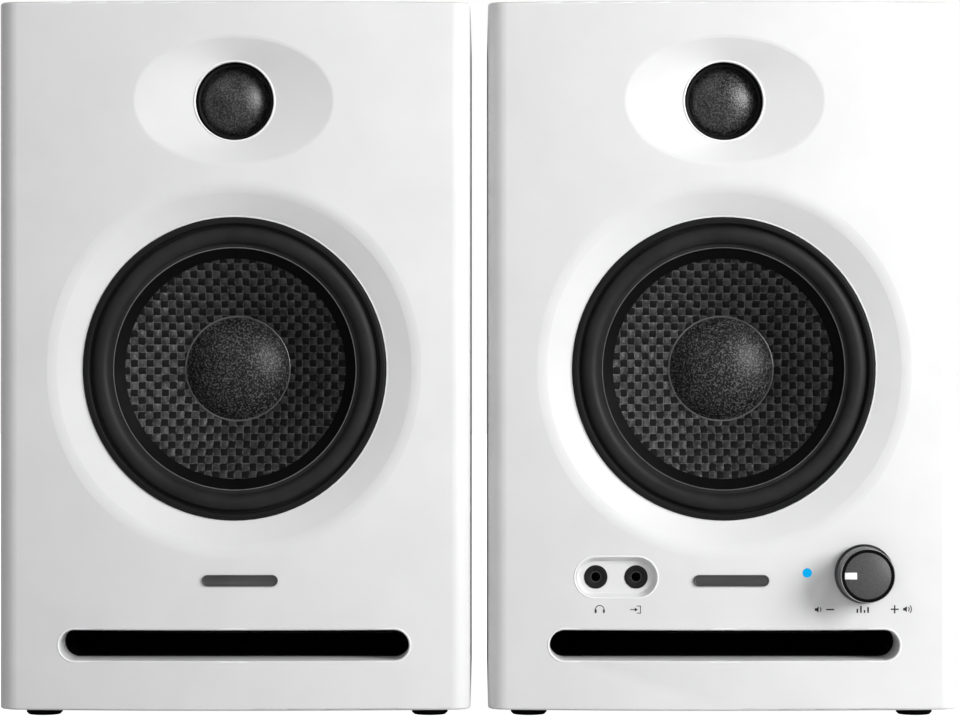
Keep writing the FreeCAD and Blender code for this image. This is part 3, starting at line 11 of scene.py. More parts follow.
import bpy
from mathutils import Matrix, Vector
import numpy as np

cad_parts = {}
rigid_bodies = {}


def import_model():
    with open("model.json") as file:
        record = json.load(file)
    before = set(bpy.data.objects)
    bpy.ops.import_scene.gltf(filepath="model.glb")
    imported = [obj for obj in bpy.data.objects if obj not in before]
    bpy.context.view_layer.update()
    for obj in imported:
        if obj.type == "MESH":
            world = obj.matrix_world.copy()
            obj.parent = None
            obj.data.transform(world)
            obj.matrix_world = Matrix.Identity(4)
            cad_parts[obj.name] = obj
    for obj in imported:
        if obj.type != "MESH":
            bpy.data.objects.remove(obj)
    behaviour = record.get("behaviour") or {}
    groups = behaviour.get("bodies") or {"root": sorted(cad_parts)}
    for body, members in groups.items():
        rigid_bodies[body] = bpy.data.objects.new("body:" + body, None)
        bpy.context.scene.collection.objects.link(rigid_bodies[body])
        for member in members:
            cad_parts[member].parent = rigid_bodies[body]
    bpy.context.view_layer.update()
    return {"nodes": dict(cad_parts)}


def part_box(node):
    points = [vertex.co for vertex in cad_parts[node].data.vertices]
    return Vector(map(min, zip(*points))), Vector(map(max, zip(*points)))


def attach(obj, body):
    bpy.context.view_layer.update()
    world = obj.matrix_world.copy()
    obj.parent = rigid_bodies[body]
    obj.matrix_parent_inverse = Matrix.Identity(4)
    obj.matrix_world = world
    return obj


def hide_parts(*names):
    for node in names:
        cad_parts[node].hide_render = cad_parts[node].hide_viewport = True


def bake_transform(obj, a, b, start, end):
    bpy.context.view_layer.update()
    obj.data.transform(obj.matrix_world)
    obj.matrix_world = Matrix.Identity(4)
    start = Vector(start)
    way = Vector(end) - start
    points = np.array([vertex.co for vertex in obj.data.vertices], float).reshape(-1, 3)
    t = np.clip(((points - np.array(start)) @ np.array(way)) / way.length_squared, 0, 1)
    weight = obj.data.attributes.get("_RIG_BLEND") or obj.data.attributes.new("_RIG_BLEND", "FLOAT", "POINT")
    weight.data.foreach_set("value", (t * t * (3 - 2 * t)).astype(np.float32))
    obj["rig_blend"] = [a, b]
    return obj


MM = 0.001
SPEAKERS = {"left": "passive_speaker", "right": "powered_speaker"}
# the steps of a full turn, for a large, a middling, a small and a tiny round piece
STEPS_LARGE, STEPS_MIDDLING, STEPS_SMALL, STEPS_TINY = 160, 128, 96, 64

# ---------------------------------------------------------------- woofer
RING_INNER = 45.95
RING_OUTER = 48.15
RING_PROUD = 2.8
RING_BORE_SLOPE = (0.45, 0.7)
RING_EDGE_SLOPE = 0.6
ROLL_CENTRE = 42.65
ROLL_RADIUS = 2.9
RUBBER = 0.8
RIB_RISE = 0.16
CONE_EDGE = 38.35
CONE_RIM_INNER = 35.15
CONE_SLOPE = 0.581
CONE_EDGE_DEPTH = 0.2
DUST_CAP_RADIUS = 16.3
DUST_CAP_HEIGHT = 7.0
DUST_CAP_WALL = 0.5
DUST_CAP_FOOT = 0.7
TOW = 2.37
TOW_RISE = 0.34
TOW_STEPS = 8
TOW_CLEAR = 0.06
FIBRE = 0.26
WEAVE_WALL = 0.3
LIP_GLUE = 0.6
SPIDER_DEPTH = 20.0
SPIDER_INNER = 13.05
SPIDER_OUTER = 31.0
SPIDER_FIRST = 14.55
SPIDER_LAST = 28.5
SPIDER_WAVES = 3
SPIDER_WAVE = 1.2
SPIDER_WALL = 0.6

# ---------------------------------------------------------------- tweeter
THROAT_RADIUS = 12.5
DOME_RADIUS = 10.85
DOME_SEAT = 2.2
DOME_HEIGHT = 4.7
DOME_SKIN = 0.3
FORMER_LENGTH = 4.6
DOME_ROLL_INNER = 10.95
DOME_ROLL_OUTER = 12.45
DOME_ROLL_LAND = 14.2
DOME_ROLL_SEAT = 2.15
DOME_ROLL_HEIGHT = 0.85
DOME_ROLL_SKIN = 0.25

# ---------------------------------------------------------------- front face and its marks
FRONT_BOW_RADIUS = 680.0
BADGE_WIDTH = 24.0
BADGE_HEIGHT = 3.6
BADGE_PROUD = 0.5
BADGE_X = 2.0
BADGE_Z = 43.8
MARK_Z = 34.6
MARK_THICK = 0.05
SLOT_WIDTH = 110.9
SLOT_HEIGHT = 9.6
SLOT_Z = 23.2
SLOT_LIP_OUT = 0.5
WELL_X = -34.4
WELL_Z = 44.8
WELL_WIDTH = 26.0
WELL_HEIGHT = 12.8
SOCKET_SPACING = 12.8
SLEEVE_OUTER = 1.79
SLEEVE_BORE = 1.4
THROAT_LIP_DEPTH = -2.52
LIP_THICK = 0.35
LIP_PROUD = 0.15

# ---------------------------------------------------------------- rear panel's rings and signs
RCA_OFFSET = 9.0
RCA_RING = ((4.25, 0.0), (4.25, 1.0), (5.2, 1.0), (5.6, 0.7), (5.6, 0.0))
STROKE = 0.22
SCALE_RADII = (7.6, 9.4)
SCALE_STROKES = 7
SCALE_SWEEP = 280
SCALE_SIGN = (8.6, 9.2)
SIGN_DROP = 3.5

# ---------------------------------------------------------------- volume knob
KNOB_BASE = 9.4
KNOB_FACE = 8.5
KNOB_LENGTH = 12.0
KNOB_CHAMFER = 0.35
KNOB_RIM = 8.28
KNOB_INLAY = 7.3
INLAY_SINK = 0.1
INLAY_THICK = 0.5
POINTER_LENGTH = 3.9
POINTER_WIDTH = 2.2
POINTER_SINK = 0.2
KNOB_SKIRT = ((0.25, -2.0), (-0.2, -1.6), (0.0, -1.3))
KNOB_WALL = (1.6, 2.4)
KNOB_CAVITY = 3.4
RIM_DEPTH = 0.3
STEM_BORE = 3.0
STEM_TUBE = 4.6
STEM_END = -0.6
STEM_FLOOR = 2.6

# ---------------------------------------------------------------- camera
CAMERA_PLACE = (0.24, -1179.0, 114.3)
CAMERA_LENS = 129.1
CAMERA_SENSOR = 36.0

# ---------------------------------------------------------------- studio, in metres and watts
# the room's light on the pair by direction, from straight in front of it (0) to straight behind it (1)
ROOM_LIGHT = ((0.0, 0.09), (0.4, 0.12), (0.55, 0.16), (0.8, 0.5), (0.95, 1.0))
# the paper sweep seems brighter the further it runs back, until it is as white as the wall behind it
PAPER_GLOW = (0.42, 1.0)
PAPER_GLOW_Y = (-0.45, -0.085)
WALL_WHITE = (0.84, 1.0)
WALL_SHARE = (0.9, 0.98)
FLOOR_WIDTH = 8.0
# each lamp's place, what it is aimed at, its width and its power
LAMPS = {
    "key": ((0.95, -0.75, 0.45), (0.0, -0.09, 0.12), 0.6, 15.8),
    "fill": ((-0.7, -1.2, 1.1), (0.0, -0.09, 0.12), 0.9, 4.5),
    "front": ((-0.2, -1.2, 0.2), (0.0, -0.09, 0.14), 0.3, 0.8),
    "spark": ((0.5, -0.9, 0.8), (0.0, -0.09, 0.12), 0.08, 1.2),
}


# ================================================================ modelling helpers
def start_fresh():
    """Take the default scene's objects away."""
    for thing in list(bpy.data.objects):
        bpy.data.objects.remove(thing)


def put_down():
    """Leave nothing selected, so that an operator acts on the new piece alone."""
    for thing in bpy.context.selected_objects:
        thing.select_set(False)


def named(name):
    """The piece just added, with its place moved into its mesh."""
    piece = bpy.context.object
    piece.name = name
    piece.data.name = name
    bpy.ops.object.transform_apply(location=True, rotation=True, scale=True)
    return piece


def pick(piece, part, test):
    """In edit mode, select the vertices, edges or faces whose middle passes the test, and nothing else."""
    bpy.ops.object.mode_set(mode="EDIT")
    bpy.ops.mesh.select_mode(type={"vertices": "VERT", "edges": "EDGE", "polygons": "FACE"}[part])
    bpy.ops.mesh.select_all(action="DESELECT")
    bpy.ops.object.mode_set(mode="OBJECT")
    mesh = piece.data
    for item in getattr(mesh, part):
        if part == "vertices":
            middle = item.co
        elif part == "edges":
            middle = (mesh.vertices[item.vertices[0]].co + mesh.vertices[item.vertices[1]].co) / 2
        else:
            middle = item.center
        item.select = bool(test(middle, item))
    bpy.ops.object.mode_set(mode="EDIT")


def close_up(gap=0.0005):
    """In edit mode, merge doubles and turn every face outwards."""
    bpy.ops.mesh.select_all(action="SELECT")
    bpy.ops.mesh.remove_doubles(threshold=gap * MM)
    bpy.ops.mesh.normals_make_consistent(inside=False)
    bpy.ops.object.mode_set(mode="OBJECT")


def soften(piece, width, segments=3, angle=30.0):
    """Round every edge sharper than the angle."""
    modifier = piece.modifiers.new("soft_edges", "BEVEL")
    modifier.width = width * MM
    modifier.segments = segments
    modifier.limit_method = "ANGLE"
    modifier.angle_limit = math.radians(angle)
    modifier.use_clamp_overlap = True
    apply(piece, modifier)


def thicken(piece, wall, offset):
    """Give a surface a wall: on one side of it at an offset of -1, half on each side at 0."""
    modifier = piece.modifiers.new("wall", "SOLIDIFY")
    modifier.thickness = wall * MM
    modifier.offset = offset
    apply(piece, modifier)


def take_up(*pieces):
    """Select these pieces alone, the first of them active."""
    put_down()
    for piece in pieces:
        piece.select_set(True)
    bpy.context.view_layer.objects.active = pieces[0]


def apply(piece, modifier):
    take_up(piece)
    bpy.ops.object.modifier_apply(modifier=modifier.name)


def polish(piece, degrees=32.0):
    """Shade smooth, but keep every edge sharper than the angle crisp."""
    take_up(piece)
    bpy.ops.object.shade_smooth_by_angle(angle=math.radians(degrees))


def joined(name, pieces):
    take_up(*pieces)
    bpy.ops.object.join()
    pieces[0].name = name
    return pieces[0]


def turned(name, section, centre, steps=STEPS_LARGE, on_axis=False):
    """A piece turned about the depth axis: a ring of points becomes its section, and is spun right round.
    With on_axis, the section starts and ends on the axis, and the edge that closes it there is taken away."""
    put_down()
    bpy.ops.mesh.primitive_circle_add(vertices=len(section), radius=MM, location=centre)
    piece = named(name)
    for vertex, (radius, depth) in zip(piece.data.vertices, section):
        vertex.co = centre + Vector((radius, depth, 0)) * MM
    if on_axis:
        pick(piece, "edges", lambda middle, edge: abs(middle.x - centre.x) < 1e-7)
        bpy.ops.mesh.delete(type="EDGE")
    bpy.ops.object.mode_set(mode="EDIT")
    bpy.ops.mesh.select_all(action="SELECT")
    bpy.ops.mesh.spin(steps=steps, angle=math.tau, center=centre, axis=(0, 1, 0))
    close_up()
    return piece


def arc(middle, radius, start, end, steps):
    """Points of a section along an arc, between two angles in degrees."""
    turns = [math.radians(start + (end - start) * k / steps) for k in range(steps + 1)]
    return [(middle[0] + radius * math.cos(t), middle[1] + radius * math.sin(t)) for t in turns]


def dome(radius, edge, height, steps):
    """Points of a section from a dome's edge to its top on the axis."""
    ball = (radius**2 + height**2) / (2 * height)
    half = math.asin(radius / ball)
    places = [half * (1 - k / steps) for k in range(steps + 1)]
    points = [(ball * math.sin(t), edge - height + ball * (1 - math.cos(t))) for t in places]
    points[-1] = (0.0, edge - height)
    return points


def out_from(centre, place):
    """A place's distance from a driver's axis, in millimetres."""
    return math.hypot(place.x - centre.x, place.z - centre.z) / MM


def cube(name, middle, size):
    """A block that a piece is shaped from, with its size in millimetres."""
    put_down()
    bpy.ops.mesh.primitive_cube_add(size=1, location=middle)
    bpy.context.object.scale = Vector(size) * MM
    return named(name)


def finish(piece, material, slot, body, *stands_for):
    """Give a piece its material and its body, and hide the CAD nodes that it stands for. The slot is not
    used.
    """
    piece.data.materials.clear()
    piece.data.materials.append(material)
    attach(piece, body)
    if stands_for:
        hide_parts(*stands_for)
    return piece


# ================================================================ material helpers
def finish_named(name, colour, roughness, metallic=0.0, specular=0.5, coat=0.0, coat_roughness=0.1):
    """A new material, with its shader."""
    material = bpy.data.materials.new(name)
    material.use_nodes = True
    shader = material.node_tree.nodes["Principled BSDF"]
    shader.inputs["Base Color"].default_value = (*colour, 1)
    shader.inputs["Roughness"].default_value = roughness
    shader.inputs["Metallic"].default_value = metallic
    shader.inputs["Specular IOR Level"].default_value = specular
    shader.inputs["Coat Weight"].default_value = coat
    shader.inputs["Coat Roughness"].default_value = coat_roughness
    return material, shader


def node(material, kind, **settings):
    """A new node. Each setting goes to the node itself, or else to its socket of that name."""
    made = material.node_tree.nodes.new("ShaderNode" + kind)
    for name, value in settings.items():
        if hasattr(made, name):
            setattr(made, name, value)
        else:
            made.inputs[name.replace("_", " ")].default_value = value
    return made


def link(material, source, target):
    material.node_tree.links.new(source, target)


def object_place(material):
    return node(material, "TexCoord").outputs["Object"]


def speckle(material, grain, detail=3.0, place=None):
    """A noise whose grain is that many millimetres across."""
    noise = node(material, "TexNoise", Scale=1 / (grain * MM), Detail=detail, Roughness=0.6)
    link(material, place or object_place(material), noise.inputs["Vector"])
    return noise.outputs["Fac"]


def between(material, factor, low, high, start=0.0, end=1.0):
    """Map a factor to a range of numbers."""
    ramp = node(material, "MapRange")
    for name, value in zip(("From Min", "From Max", "To Min", "To Max"), (start, end, low, high)):
        ramp.inputs[name].default_value = value
    link(material, factor, ramp.inputs["Value"])
    return ramp.outputs["Result"]


def tint(material, shader, factor, dark, light, start=0.3, end=0.7):
    """Vary the base colour between two colours."""
    mix = node(material, "Mix", data_type="RGBA")
    mix.inputs[6].default_value = (*dark, 1)
    mix.inputs[7].default_value = (*light, 1)
    link(material, between(material, factor, 0, 1, start, end), mix.inputs[0])
    link(material, mix.outputs[2], shader.inputs["Base Color"])


def relief(material, shader, height, depth, under=None):
    """A bump whose full height is that many millimetres."""
    bump = node(material, "Bump", Strength=1.0, Distance=depth * MM)
    link(material, height, bump.inputs["Height"])
    if under:
        link(material, under, bump.inputs["Normal"])
    link(material, bump.outputs["Normal"], shader.inputs["Normal"])
    return bump.outputs["Normal"]


def wear(material, shader, factor, low, high, start=0.3, end=0.7):
    """Vary the roughness between two values."""
    link(material, between(material, factor, low, high, start, end), shader.inputs["Roughness"])


# ================================================================ finishes
def moulded_plastic(name, dark, light, grain, roughness, texture=0.02, specular=0.5):
    """Plastic from a spark-eroded mould: a fine even grain, and a slow change of gloss over the surface."""
    material, shader = finish_named(name, light, sum(roughness) / 2, specular=specular)
    fine = speckle(material, grain)
    broad = speckle(material, 22.0, 2.0)
    tint(material, shader, broad, dark, light)
    wear(material, shader, broad, *roughness)
    relief(material, shader, fine, texture)
    return material


def combine(material, operation, first, second):
    """One sum of two factors."""
    result = node(material, "Math", operation=operation)
    link(material, first, result.inputs[0])
    link(material, second, result.inputs[1])
    return result.outputs[0]


def threads(material, place, pitch, **settings):
    """Two rows of parallel bands at a pitch in millimetres, one counted along X and the other along Z."""
    rows = []
    for direction in ("X", "Z"):
        wave = node(material, "TexWave", wave_type="BANDS", bands_direction=direction, **settings)
        wave.inputs["Scale"].default_value = math.tau / 20 / (pitch * MM)
        link(material, place, wave.inputs["Vector"])
        rows.append(wave.outputs["Fac"])
    return rows


def woven_cloth_height(material, pitch):
    """The height of a fine plain weave in the plane of the front, crossed by two rows of threads."""
    return combine(material, "MULTIPLY", *threads(material, object_place(material), pitch))


def rubber(name, colour, roughness, specular=0.5):
    """Moulded rubber: a dull skin, mottled by its bloom."""
    material, shader = finish_named(name, colour, roughness, specular=specular)
    fine = speckle(material, 0.35)
    broad = speckle(material, 9.0)
    tint(material, shader, broad, [c * 0.8 for c in colour], [c * 1.25 for c in colour])
    wear(material, shader, broad, roughness * 0.85, min(1.0, roughness * 1.15))
    relief(material, shader, fine, 0.012)
    return material


def woven_cone():
    """Coated glass tows in a plain weave: the fibres of each tow run its own way, across the next one's. Its
    colour holds painted sheen on one set of tows and painted glints along their edges.
    """
    material, shader = finish_named("woven_cone", (0.01, 0.01, 0.0105), 0.3, specular=0.22)
    place = object_place(material)
    flat = node(material, "Mapping", vector_type="POINT", Scale=(1, 0, 1))
    link(material, place, flat.inputs["Vector"])
    squares = node(material, "TexChecker", Scale=1 / (TOW * MM), Color1=(1, 1, 1, 1), Color2=(0, 0, 0, 1))
    link(material, flat.outputs["Vector"], squares.inputs["Vector"])
    strands = node(material, "Mix", data_type="FLOAT")
    link(material, squares.outputs["Fac"], strands.inputs[0])
    for socket, row in zip((2, 3), threads(material, place, FIBRE, Distortion=0.6, Detail_Scale=2.0)):
        link(material, row, strands.inputs[socket])
    patches = between(material, speckle(material, 3.2, 2.0), 0.35, 1.0, 0.38, 0.62)
    # Painted sheen: one set of checker squares is painted lighter, as tows whose fibres catch the light would
    # be. Random patches vary it, and the same mask makes those tows glossier.
    gloss_and_painted_sheen = combine(material, "MULTIPLY", squares.outputs["Fac"], patches)
    # Painted glints: bright lines along the tows' edges, broken up by a noise and added to the painted sheen.
    painted_seam_lines = [between(material, row, 1, 0, 0, 0.05) for row in threads(material, place, TOW)]
    painted_glint_spots = between(material, speckle(material, 1.3, 1.0), 0, 1.6, 0.42, 0.62)
    glints = combine(material, "MULTIPLY", combine(material, "MAXIMUM", *painted_seam_lines), painted_glint_spots)
    painted_sheen_and_glints = combine(material, "ADD", gloss_and_painted_sheen, glints)
    tint(material, shader, painted_sheen_and_glints, (0.0004, 0.0004, 0.0004), (0.11, 0.11, 0.112), 0, 2.6)
    wear(material, shader, gloss_and_painted_sheen, 0.8, 0.12, 0, 1)
    relief(material, shader, strands.outputs[0], 0.03)
    return material


def cap_cloth():
    """The dust cap's pressed cloth, close woven and lightly coated, so that it glints grain by grain."""
    material, shader = finish_named("dust_cap", (0.015, 0.015, 0.0155), 0.4, specular=0.26)
    grain = speckle(material, 0.6, 2.0)
    patches = speckle(material, 1.7)
    tint(material, shader, grain, (0.0005, 0.0005, 0.0005), (0.09, 0.09, 0.091), 0.48, 0.64)
    wear(material, shader, patches, 0.34, 0.46)
    relief(material, shader, grain, 0.14, relief(material, shader, patches, 0.03))
    return material


def dome_cloth():
    """Doped silk: a very fine weave under a thin soft coat."""
    material, shader = finish_named("dome_silk", (0.015, 0.015, 0.016), 0.34, specular=0.6)
    cloth = woven_cloth_height(material, 0.5)
    grain = speckle(material, 0.55, 2.0)
    tint(material, shader, grain, (0.001, 0.001, 0.001), (0.062, 0.062, 0.064), 0.48, 0.6)
    wear(material, shader, grain, 0.28, 0.42)
    relief(material, shader, cloth, 0.02, relief(material, shader, grain, 0.12))
    return material


def spider_cloth():
    """Cotton pressed into waves and stiffened with resin: an open weave, darker here and there."""
    material, shader = finish_named("spider_cloth", (0.42, 0.25, 0.08), 0.75, specular=0.3)
    cloth = woven_cloth_height(material, 0.7)
    resin = speckle(material, 4.0)
    tint(material, shader, resin, (0.34, 0.19, 0.055), (0.5, 0.31, 0.11))
    wear(material, shader, resin, 0.6, 0.85)
    relief(material, shader, cloth, 0.14)
    return material


def knob_metal(name, dark, light, roughness, metallic):
    """Dark anodised metal, blasted to a fine grain."""
    material, shader = finish_named(name, light, roughness, metallic=metallic)
    grain = speckle(material, 0.22)
    tint(material, shader, grain, dark, light)
    wear(material, shader, grain, roughness * 0.85, roughness * 1.2)
    relief(material, shader, grain, 0.015)
    return material


def brushed_metal(name, colour, roughness):
    """Bare or plated metal with a fine grain, and duller patches where it has been handled."""
    material, shader = finish_named(name, colour, roughness, metallic=1.0)
    grain = speckle(material, 0.5)
    broad = speckle(material, 6.0)
    tint(material, shader, broad, [c * 0.85 for c in colour], colour)
    wear(material, shader, broad, roughness * 0.8, min(1.0, roughness * 1.3))
    relief(material, shader, grain, 0.008)
    return material


def lit_lens():
    """The status light: a clear lens with a blue glow from within."""
    material, shader = finish_named(
        "blue_lens", (0.0, 0.01, 0.03), 0.45, specular=0.05, coat=0.15, coat_roughness=0.2
    )
    depth = speckle(material, 1.2)
    tint(material, shader, depth, (0.0, 0.008, 0.024), (0.0, 0.016, 0.04))
    shader.inputs["Emission Color"].default_value = (0.0, 0.41, 0.84, 1)
    shader.inputs["Emission Strength"].default_value = 1.0
    return material


def circuit_board():
    """Green board under a clear lacquer, with its tracks standing up a little."""
    material, shader = finish_named("circuit_board", (0.02, 0.12, 0.05), 0.38, coat=0.4)
    tracks = node(material, "TexBrick", Scale=90.0)
    link(material, object_place(material), tracks.inputs["Vector"])
    tint(material, shader, tracks.outputs["Fac"], (0.015, 0.1, 0.04), (0.03, 0.17, 0.07), 0, 1)
    relief(material, shader, tracks.outputs["Fac"], 0.03)
    return material


def make_finishes():
    """One material for each of the record's slots, and a few for the small trim and for painted highlight
    lines.
    """
    return {
        "white_moulding": moulded_plastic(
            "white_moulding", (0.70, 0.70, 0.705), (0.73, 0.73, 0.732), 0.35, (0.40, 0.46)
        ),
        "white_cabinet": moulded_plastic(
            "white_cabinet", (0.69, 0.69, 0.69), (0.72, 0.72, 0.72), 0.6, (0.46, 0.54), 0.03
        ),
        "foot_rubber": rubber("foot_rubber", (0.004, 0.004, 0.004), 0.6, 0.08),
        "black_plastic": moulded_plastic(
            "black_plastic", (0.006, 0.006, 0.0063), (0.01, 0.01, 0.0103), 0.4, (0.4, 0.5), 0.02, 0.2
        ),
        "ring_plastic": moulded_plastic(
            "ring_plastic", (0.008, 0.008, 0.0083), (0.012, 0.012, 0.0123), 0.25, (0.46, 0.54), 0.012, 0.1
        ),
        "surround_rubber": rubber("surround_rubber", (0.017, 0.017, 0.0172), 0.5, 0.14),
        # a lighter copy of the surround's rubber, for painted highlight lines on the bead at the cone's edge
        # and on the cap's foot
        "rubber_painted_highlight": rubber("rubber_painted_highlight", (0.09, 0.09, 0.09), 0.3, 0.5),
        # the white moulding painted lighter, for painted highlight lines on the beads round the openings
        "lip_white_painted_highlight": moulded_plastic(
            "lip_white_painted_highlight", (0.82, 0.82, 0.822), (0.86, 0.86, 0.862), 0.35, (0.2, 0.28), 0.005
        ),
        "lip_rubber": rubber("lip_rubber", (0.0025, 0.0025, 0.0026), 0.55, 0.05),
        "woven_cone": woven_cone(),
        "dust_cap": cap_cloth(),
        "copper": brushed_metal("copper", (0.72, 0.36, 0.2), 0.35),
        "spider_cloth": spider_cloth(),
        "black_steel": moulded_plastic(
            "black_steel", (0.014, 0.014, 0.015), (0.024, 0.024, 0.025), 0.7, (0.5, 0.6), 0.05
        ),
        "plated_steel": brushed_metal("plated_steel", (0.62, 0.6, 0.56), 0.32),
        "ferrite": moulded_plastic(
            "ferrite", (0.03, 0.03, 0.032), (0.05, 0.05, 0.052), 0.8, (0.6, 0.7), 0.06
        ),
        "dome_silk": dome_cloth(),
        "red_plastic": moulded_plastic(
            "red_plastic", (0.4, 0.012, 0.012), (0.5, 0.02, 0.018), 0.4, (0.35, 0.45)
        ),
        "screw_steel": brushed_metal("screw_steel", (0.1, 0.1, 0.105), 0.38),
        "knob_plastic": moulded_plastic(
            "knob_plastic", (0.02, 0.02, 0.021), (0.028, 0.028, 0.029), 0.3, (0.4, 0.48)
        ),
        "shaft_metal": brushed_metal("shaft_metal", (0.66, 0.66, 0.67), 0.28),
        "circuit_board": circuit_board(),
        "blue_lens": lit_lens(),
        "rca_metal": brushed_metal("rca_metal", (0.75, 0.73, 0.7), 0.25),
        "heat_sink_metal": brushed_metal("heat_sink_metal", (0.08, 0.08, 0.085), 0.45),
        "knob_metal": knob_metal("knob_metal", (0.05, 0.05, 0.052), (0.095, 0.095, 0.098), 0.22, 1.0),
        "knob_inlay": knob_metal("knob_inlay", (0.05, 0.05, 0.05), (0.115, 0.115, 0.116), 0.46, 0.4),
        "pointer_white": moulded_plastic(
            "pointer_white", (0.86, 0.86, 0.86), (0.92, 0.92, 0.92), 0.3, (0.4, 0.5)
        ),
        "badge_grey": moulded_plastic(
            "badge_grey", (0.035, 0.035, 0.037), (0.055, 0.055, 0.057), 0.2, (0.3, 0.36), 0.01
        ),
        "mark_ink": moulded_plastic(
            "mark_ink", (0.015, 0.015, 0.015), (0.028, 0.028, 0.028), 0.15, (0.5, 0.6), 0.005, 0.2
        ),
    }


# ================================================================ woofer
def cone_depth(radius):
    """The depth of the cone's front at a radius, from the plane that the driver is screwed against."""
    return CONE_EDGE_DEPTH + (CONE_EDGE - radius) * CONE_SLOPE


def trim_ring(side, centre, finishes):
    """The black ring over the surround's land, sloped at its bore."""
    piece = turned(
        side + "_ring",
        [
            (RING_INNER, 0),
            (RING_INNER, RING_BORE_SLOPE[1] - RING_PROUD),
            (RING_INNER + RING_BORE_SLOPE[0], -RING_PROUD),
            (RING_OUTER - RING_EDGE_SLOPE, -RING_PROUD),
            (RING_OUTER, RING_EDGE_SLOPE - RING_PROUD),
            (RING_OUTER, 0),
        ],
        centre,
    )
    soften(piece, 0.18)
    polish(piece)
    finish(piece, finishes["ring_plastic"], "ring_plastic", SPEAKERS[side], side + "_woofer_trim_ring")


def surround(side, centre, finishes):
    """The half roll, with its land under the ring and its lip glued down over the cone's edge."""
    middle = (ROLL_CENTRE, -RUBBER / 2)
    lip_outer = cone_depth(CONE_EDGE) - LIP_GLUE
    lip_inner = cone_depth(CONE_RIM_INNER) - LIP_GLUE
    front = [(RING_INNER - 0.1, -RUBBER)]
    front += arc(middle, ROLL_RADIUS, -8, -172, 22)
    front += [(CONE_EDGE + 0.55, -RUBBER), (CONE_EDGE + 0.4, -RUBBER - RIB_RISE)]
    front += [(CONE_EDGE + 0.1, -RUBBER - RIB_RISE), (CONE_EDGE - 0.12, lip_outer + 0.12)]
    front += [(CONE_RIM_INNER + 0.3, lip_inner - 0.17)]
    front += [(CONE_RIM_INNER, lip_inner + 0.1)]
    back = [(CONE_RIM_INNER, cone_depth(CONE_RIM_INNER) - 0.1), (CONE_EDGE, cone_depth(CONE_EDGE) - 0.1)]
    back += [(CONE_EDGE + 0.2, 0)]
    back += arc(middle, ROLL_RADIUS - RUBBER, -169, -11, 18)
    back += [(RING_INNER - 0.1, 0)]
    piece = turned(side + "_surround", front + back, centre)
    polish(piece, 40)
    piece.data.materials.append(finishes["surround_rubber"])
    piece.data.materials.append(finishes["lip_rubber"])
    piece.data.materials.append(finishes["rubber_painted_highlight"])
    # Forward-facing faces of the small bead at the cone's edge take the lighter rubber: a painted highlight
    # line.
    for face in piece.data.polygons:
        out = out_from(centre, face.center)
        painted_highlight_face = CONE_EDGE < out < CONE_EDGE + 0.45 and face.normal.y < -0.5
        face.material_index = 2 if painted_highlight_face else 1 if out < CONE_EDGE else 0
    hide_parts(side + "_woofer_surround")
    stretch_between(piece, side + "_woofer_cone", side, centre, CONE_EDGE + 0.4, RING_INNER - 0.5)


def stretch_between(piece, moving, side, centre, inner, outer):
    """The piece's inner edge moves with the moving body and its outer edge stays with the speaker. It gives
    way in rings, so the share of each point follows from its radius and not from a direction."""
    reach = Vector((outer * MM, 0, 0))
    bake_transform(piece, moving, SPEAKERS[side], centre, centre + reach)
    share = piece.data.attributes["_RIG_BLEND"]
    for vertex, weight in zip(piece.data.vertices, share.data):
        radius = out_from(centre, vertex.co)
        along = min(1.0, max(0.0, (radius - inner) / (outer - inner)))
        weight.value = along * along * (3 - 2 * along)


def spider(side, centre, finishes):
    """The corrugated cloth that keeps the voice coil in the middle of its gap."""
    steps = 12 * SPIDER_WAVES
    pitch = (SPIDER_LAST - SPIDER_FIRST) / SPIDER_WAVES
    radii = [SPIDER_FIRST + (SPIDER_LAST - SPIDER_FIRST) * k / steps for k in range(steps + 1)]
    waves = [(r, SPIDER_DEPTH - SPIDER_WAVE * math.sin(math.tau * (r - SPIDER_FIRST) / pitch)) for r in radii]
    front = [(SPIDER_INNER, SPIDER_DEPTH)] + waves + [(SPIDER_OUTER, SPIDER_DEPTH)]
    back = [(r, depth + SPIDER_WALL) for r, depth in reversed(front)]
    piece = turned(side + "_spider", front + back, centre, STEPS_SMALL)
    polish(piece, 40)
    piece.data.materials.append(finishes["spider_cloth"])
    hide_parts(side + "_woofer_spider")
    stretch_between(piece, side + "_woofer_cone", side, centre, SPIDER_FIRST, SPIDER_LAST)


def cone_weave(side, centre, finishes):
    """The woven skin of the cone: tows that really pass over and under each other."""
    outer, inner = CONE_RIM_INNER + 1.3, DUST_CAP_RADIUS - 0.5
    cells = math.ceil(outer / TOW) * 2 + 2
    crossing = [round(part / (TOW * MM)) * TOW * MM for part in centre]
    put_down()
    bpy.ops.mesh.primitive_grid_add(
        x_subdivisions=cells * TOW_STEPS,
        y_subdivisions=cells * TOW_STEPS,
        size=cells * TOW * MM,
        location=(crossing[0], centre.y, crossing[2]),
        rotation=(math.pi / 2, 0, 0),
    )
    piece = named(side + "_cone_weave")
    for vertex in piece.data.vertices:
        rise = TOW_CLEAR + tow_height(vertex.co.x / MM, vertex.co.z / MM)
        vertex.co.y = centre.y + (cone_depth(out_from(centre, vertex.co)) - rise) * MM
    pick(piece, "polygons", lambda middle, face: not inner < out_from(centre, middle) < outer)
    bpy.ops.mesh.delete(type="FACE")
    bpy.ops.object.mode_set(mode="OBJECT")
    thicken(piece, WEAVE_WALL, -1)
    polish(piece, 60)
    finish(piece, finishes["woven_cone"], "woven_cone", side + "_woofer_cone")


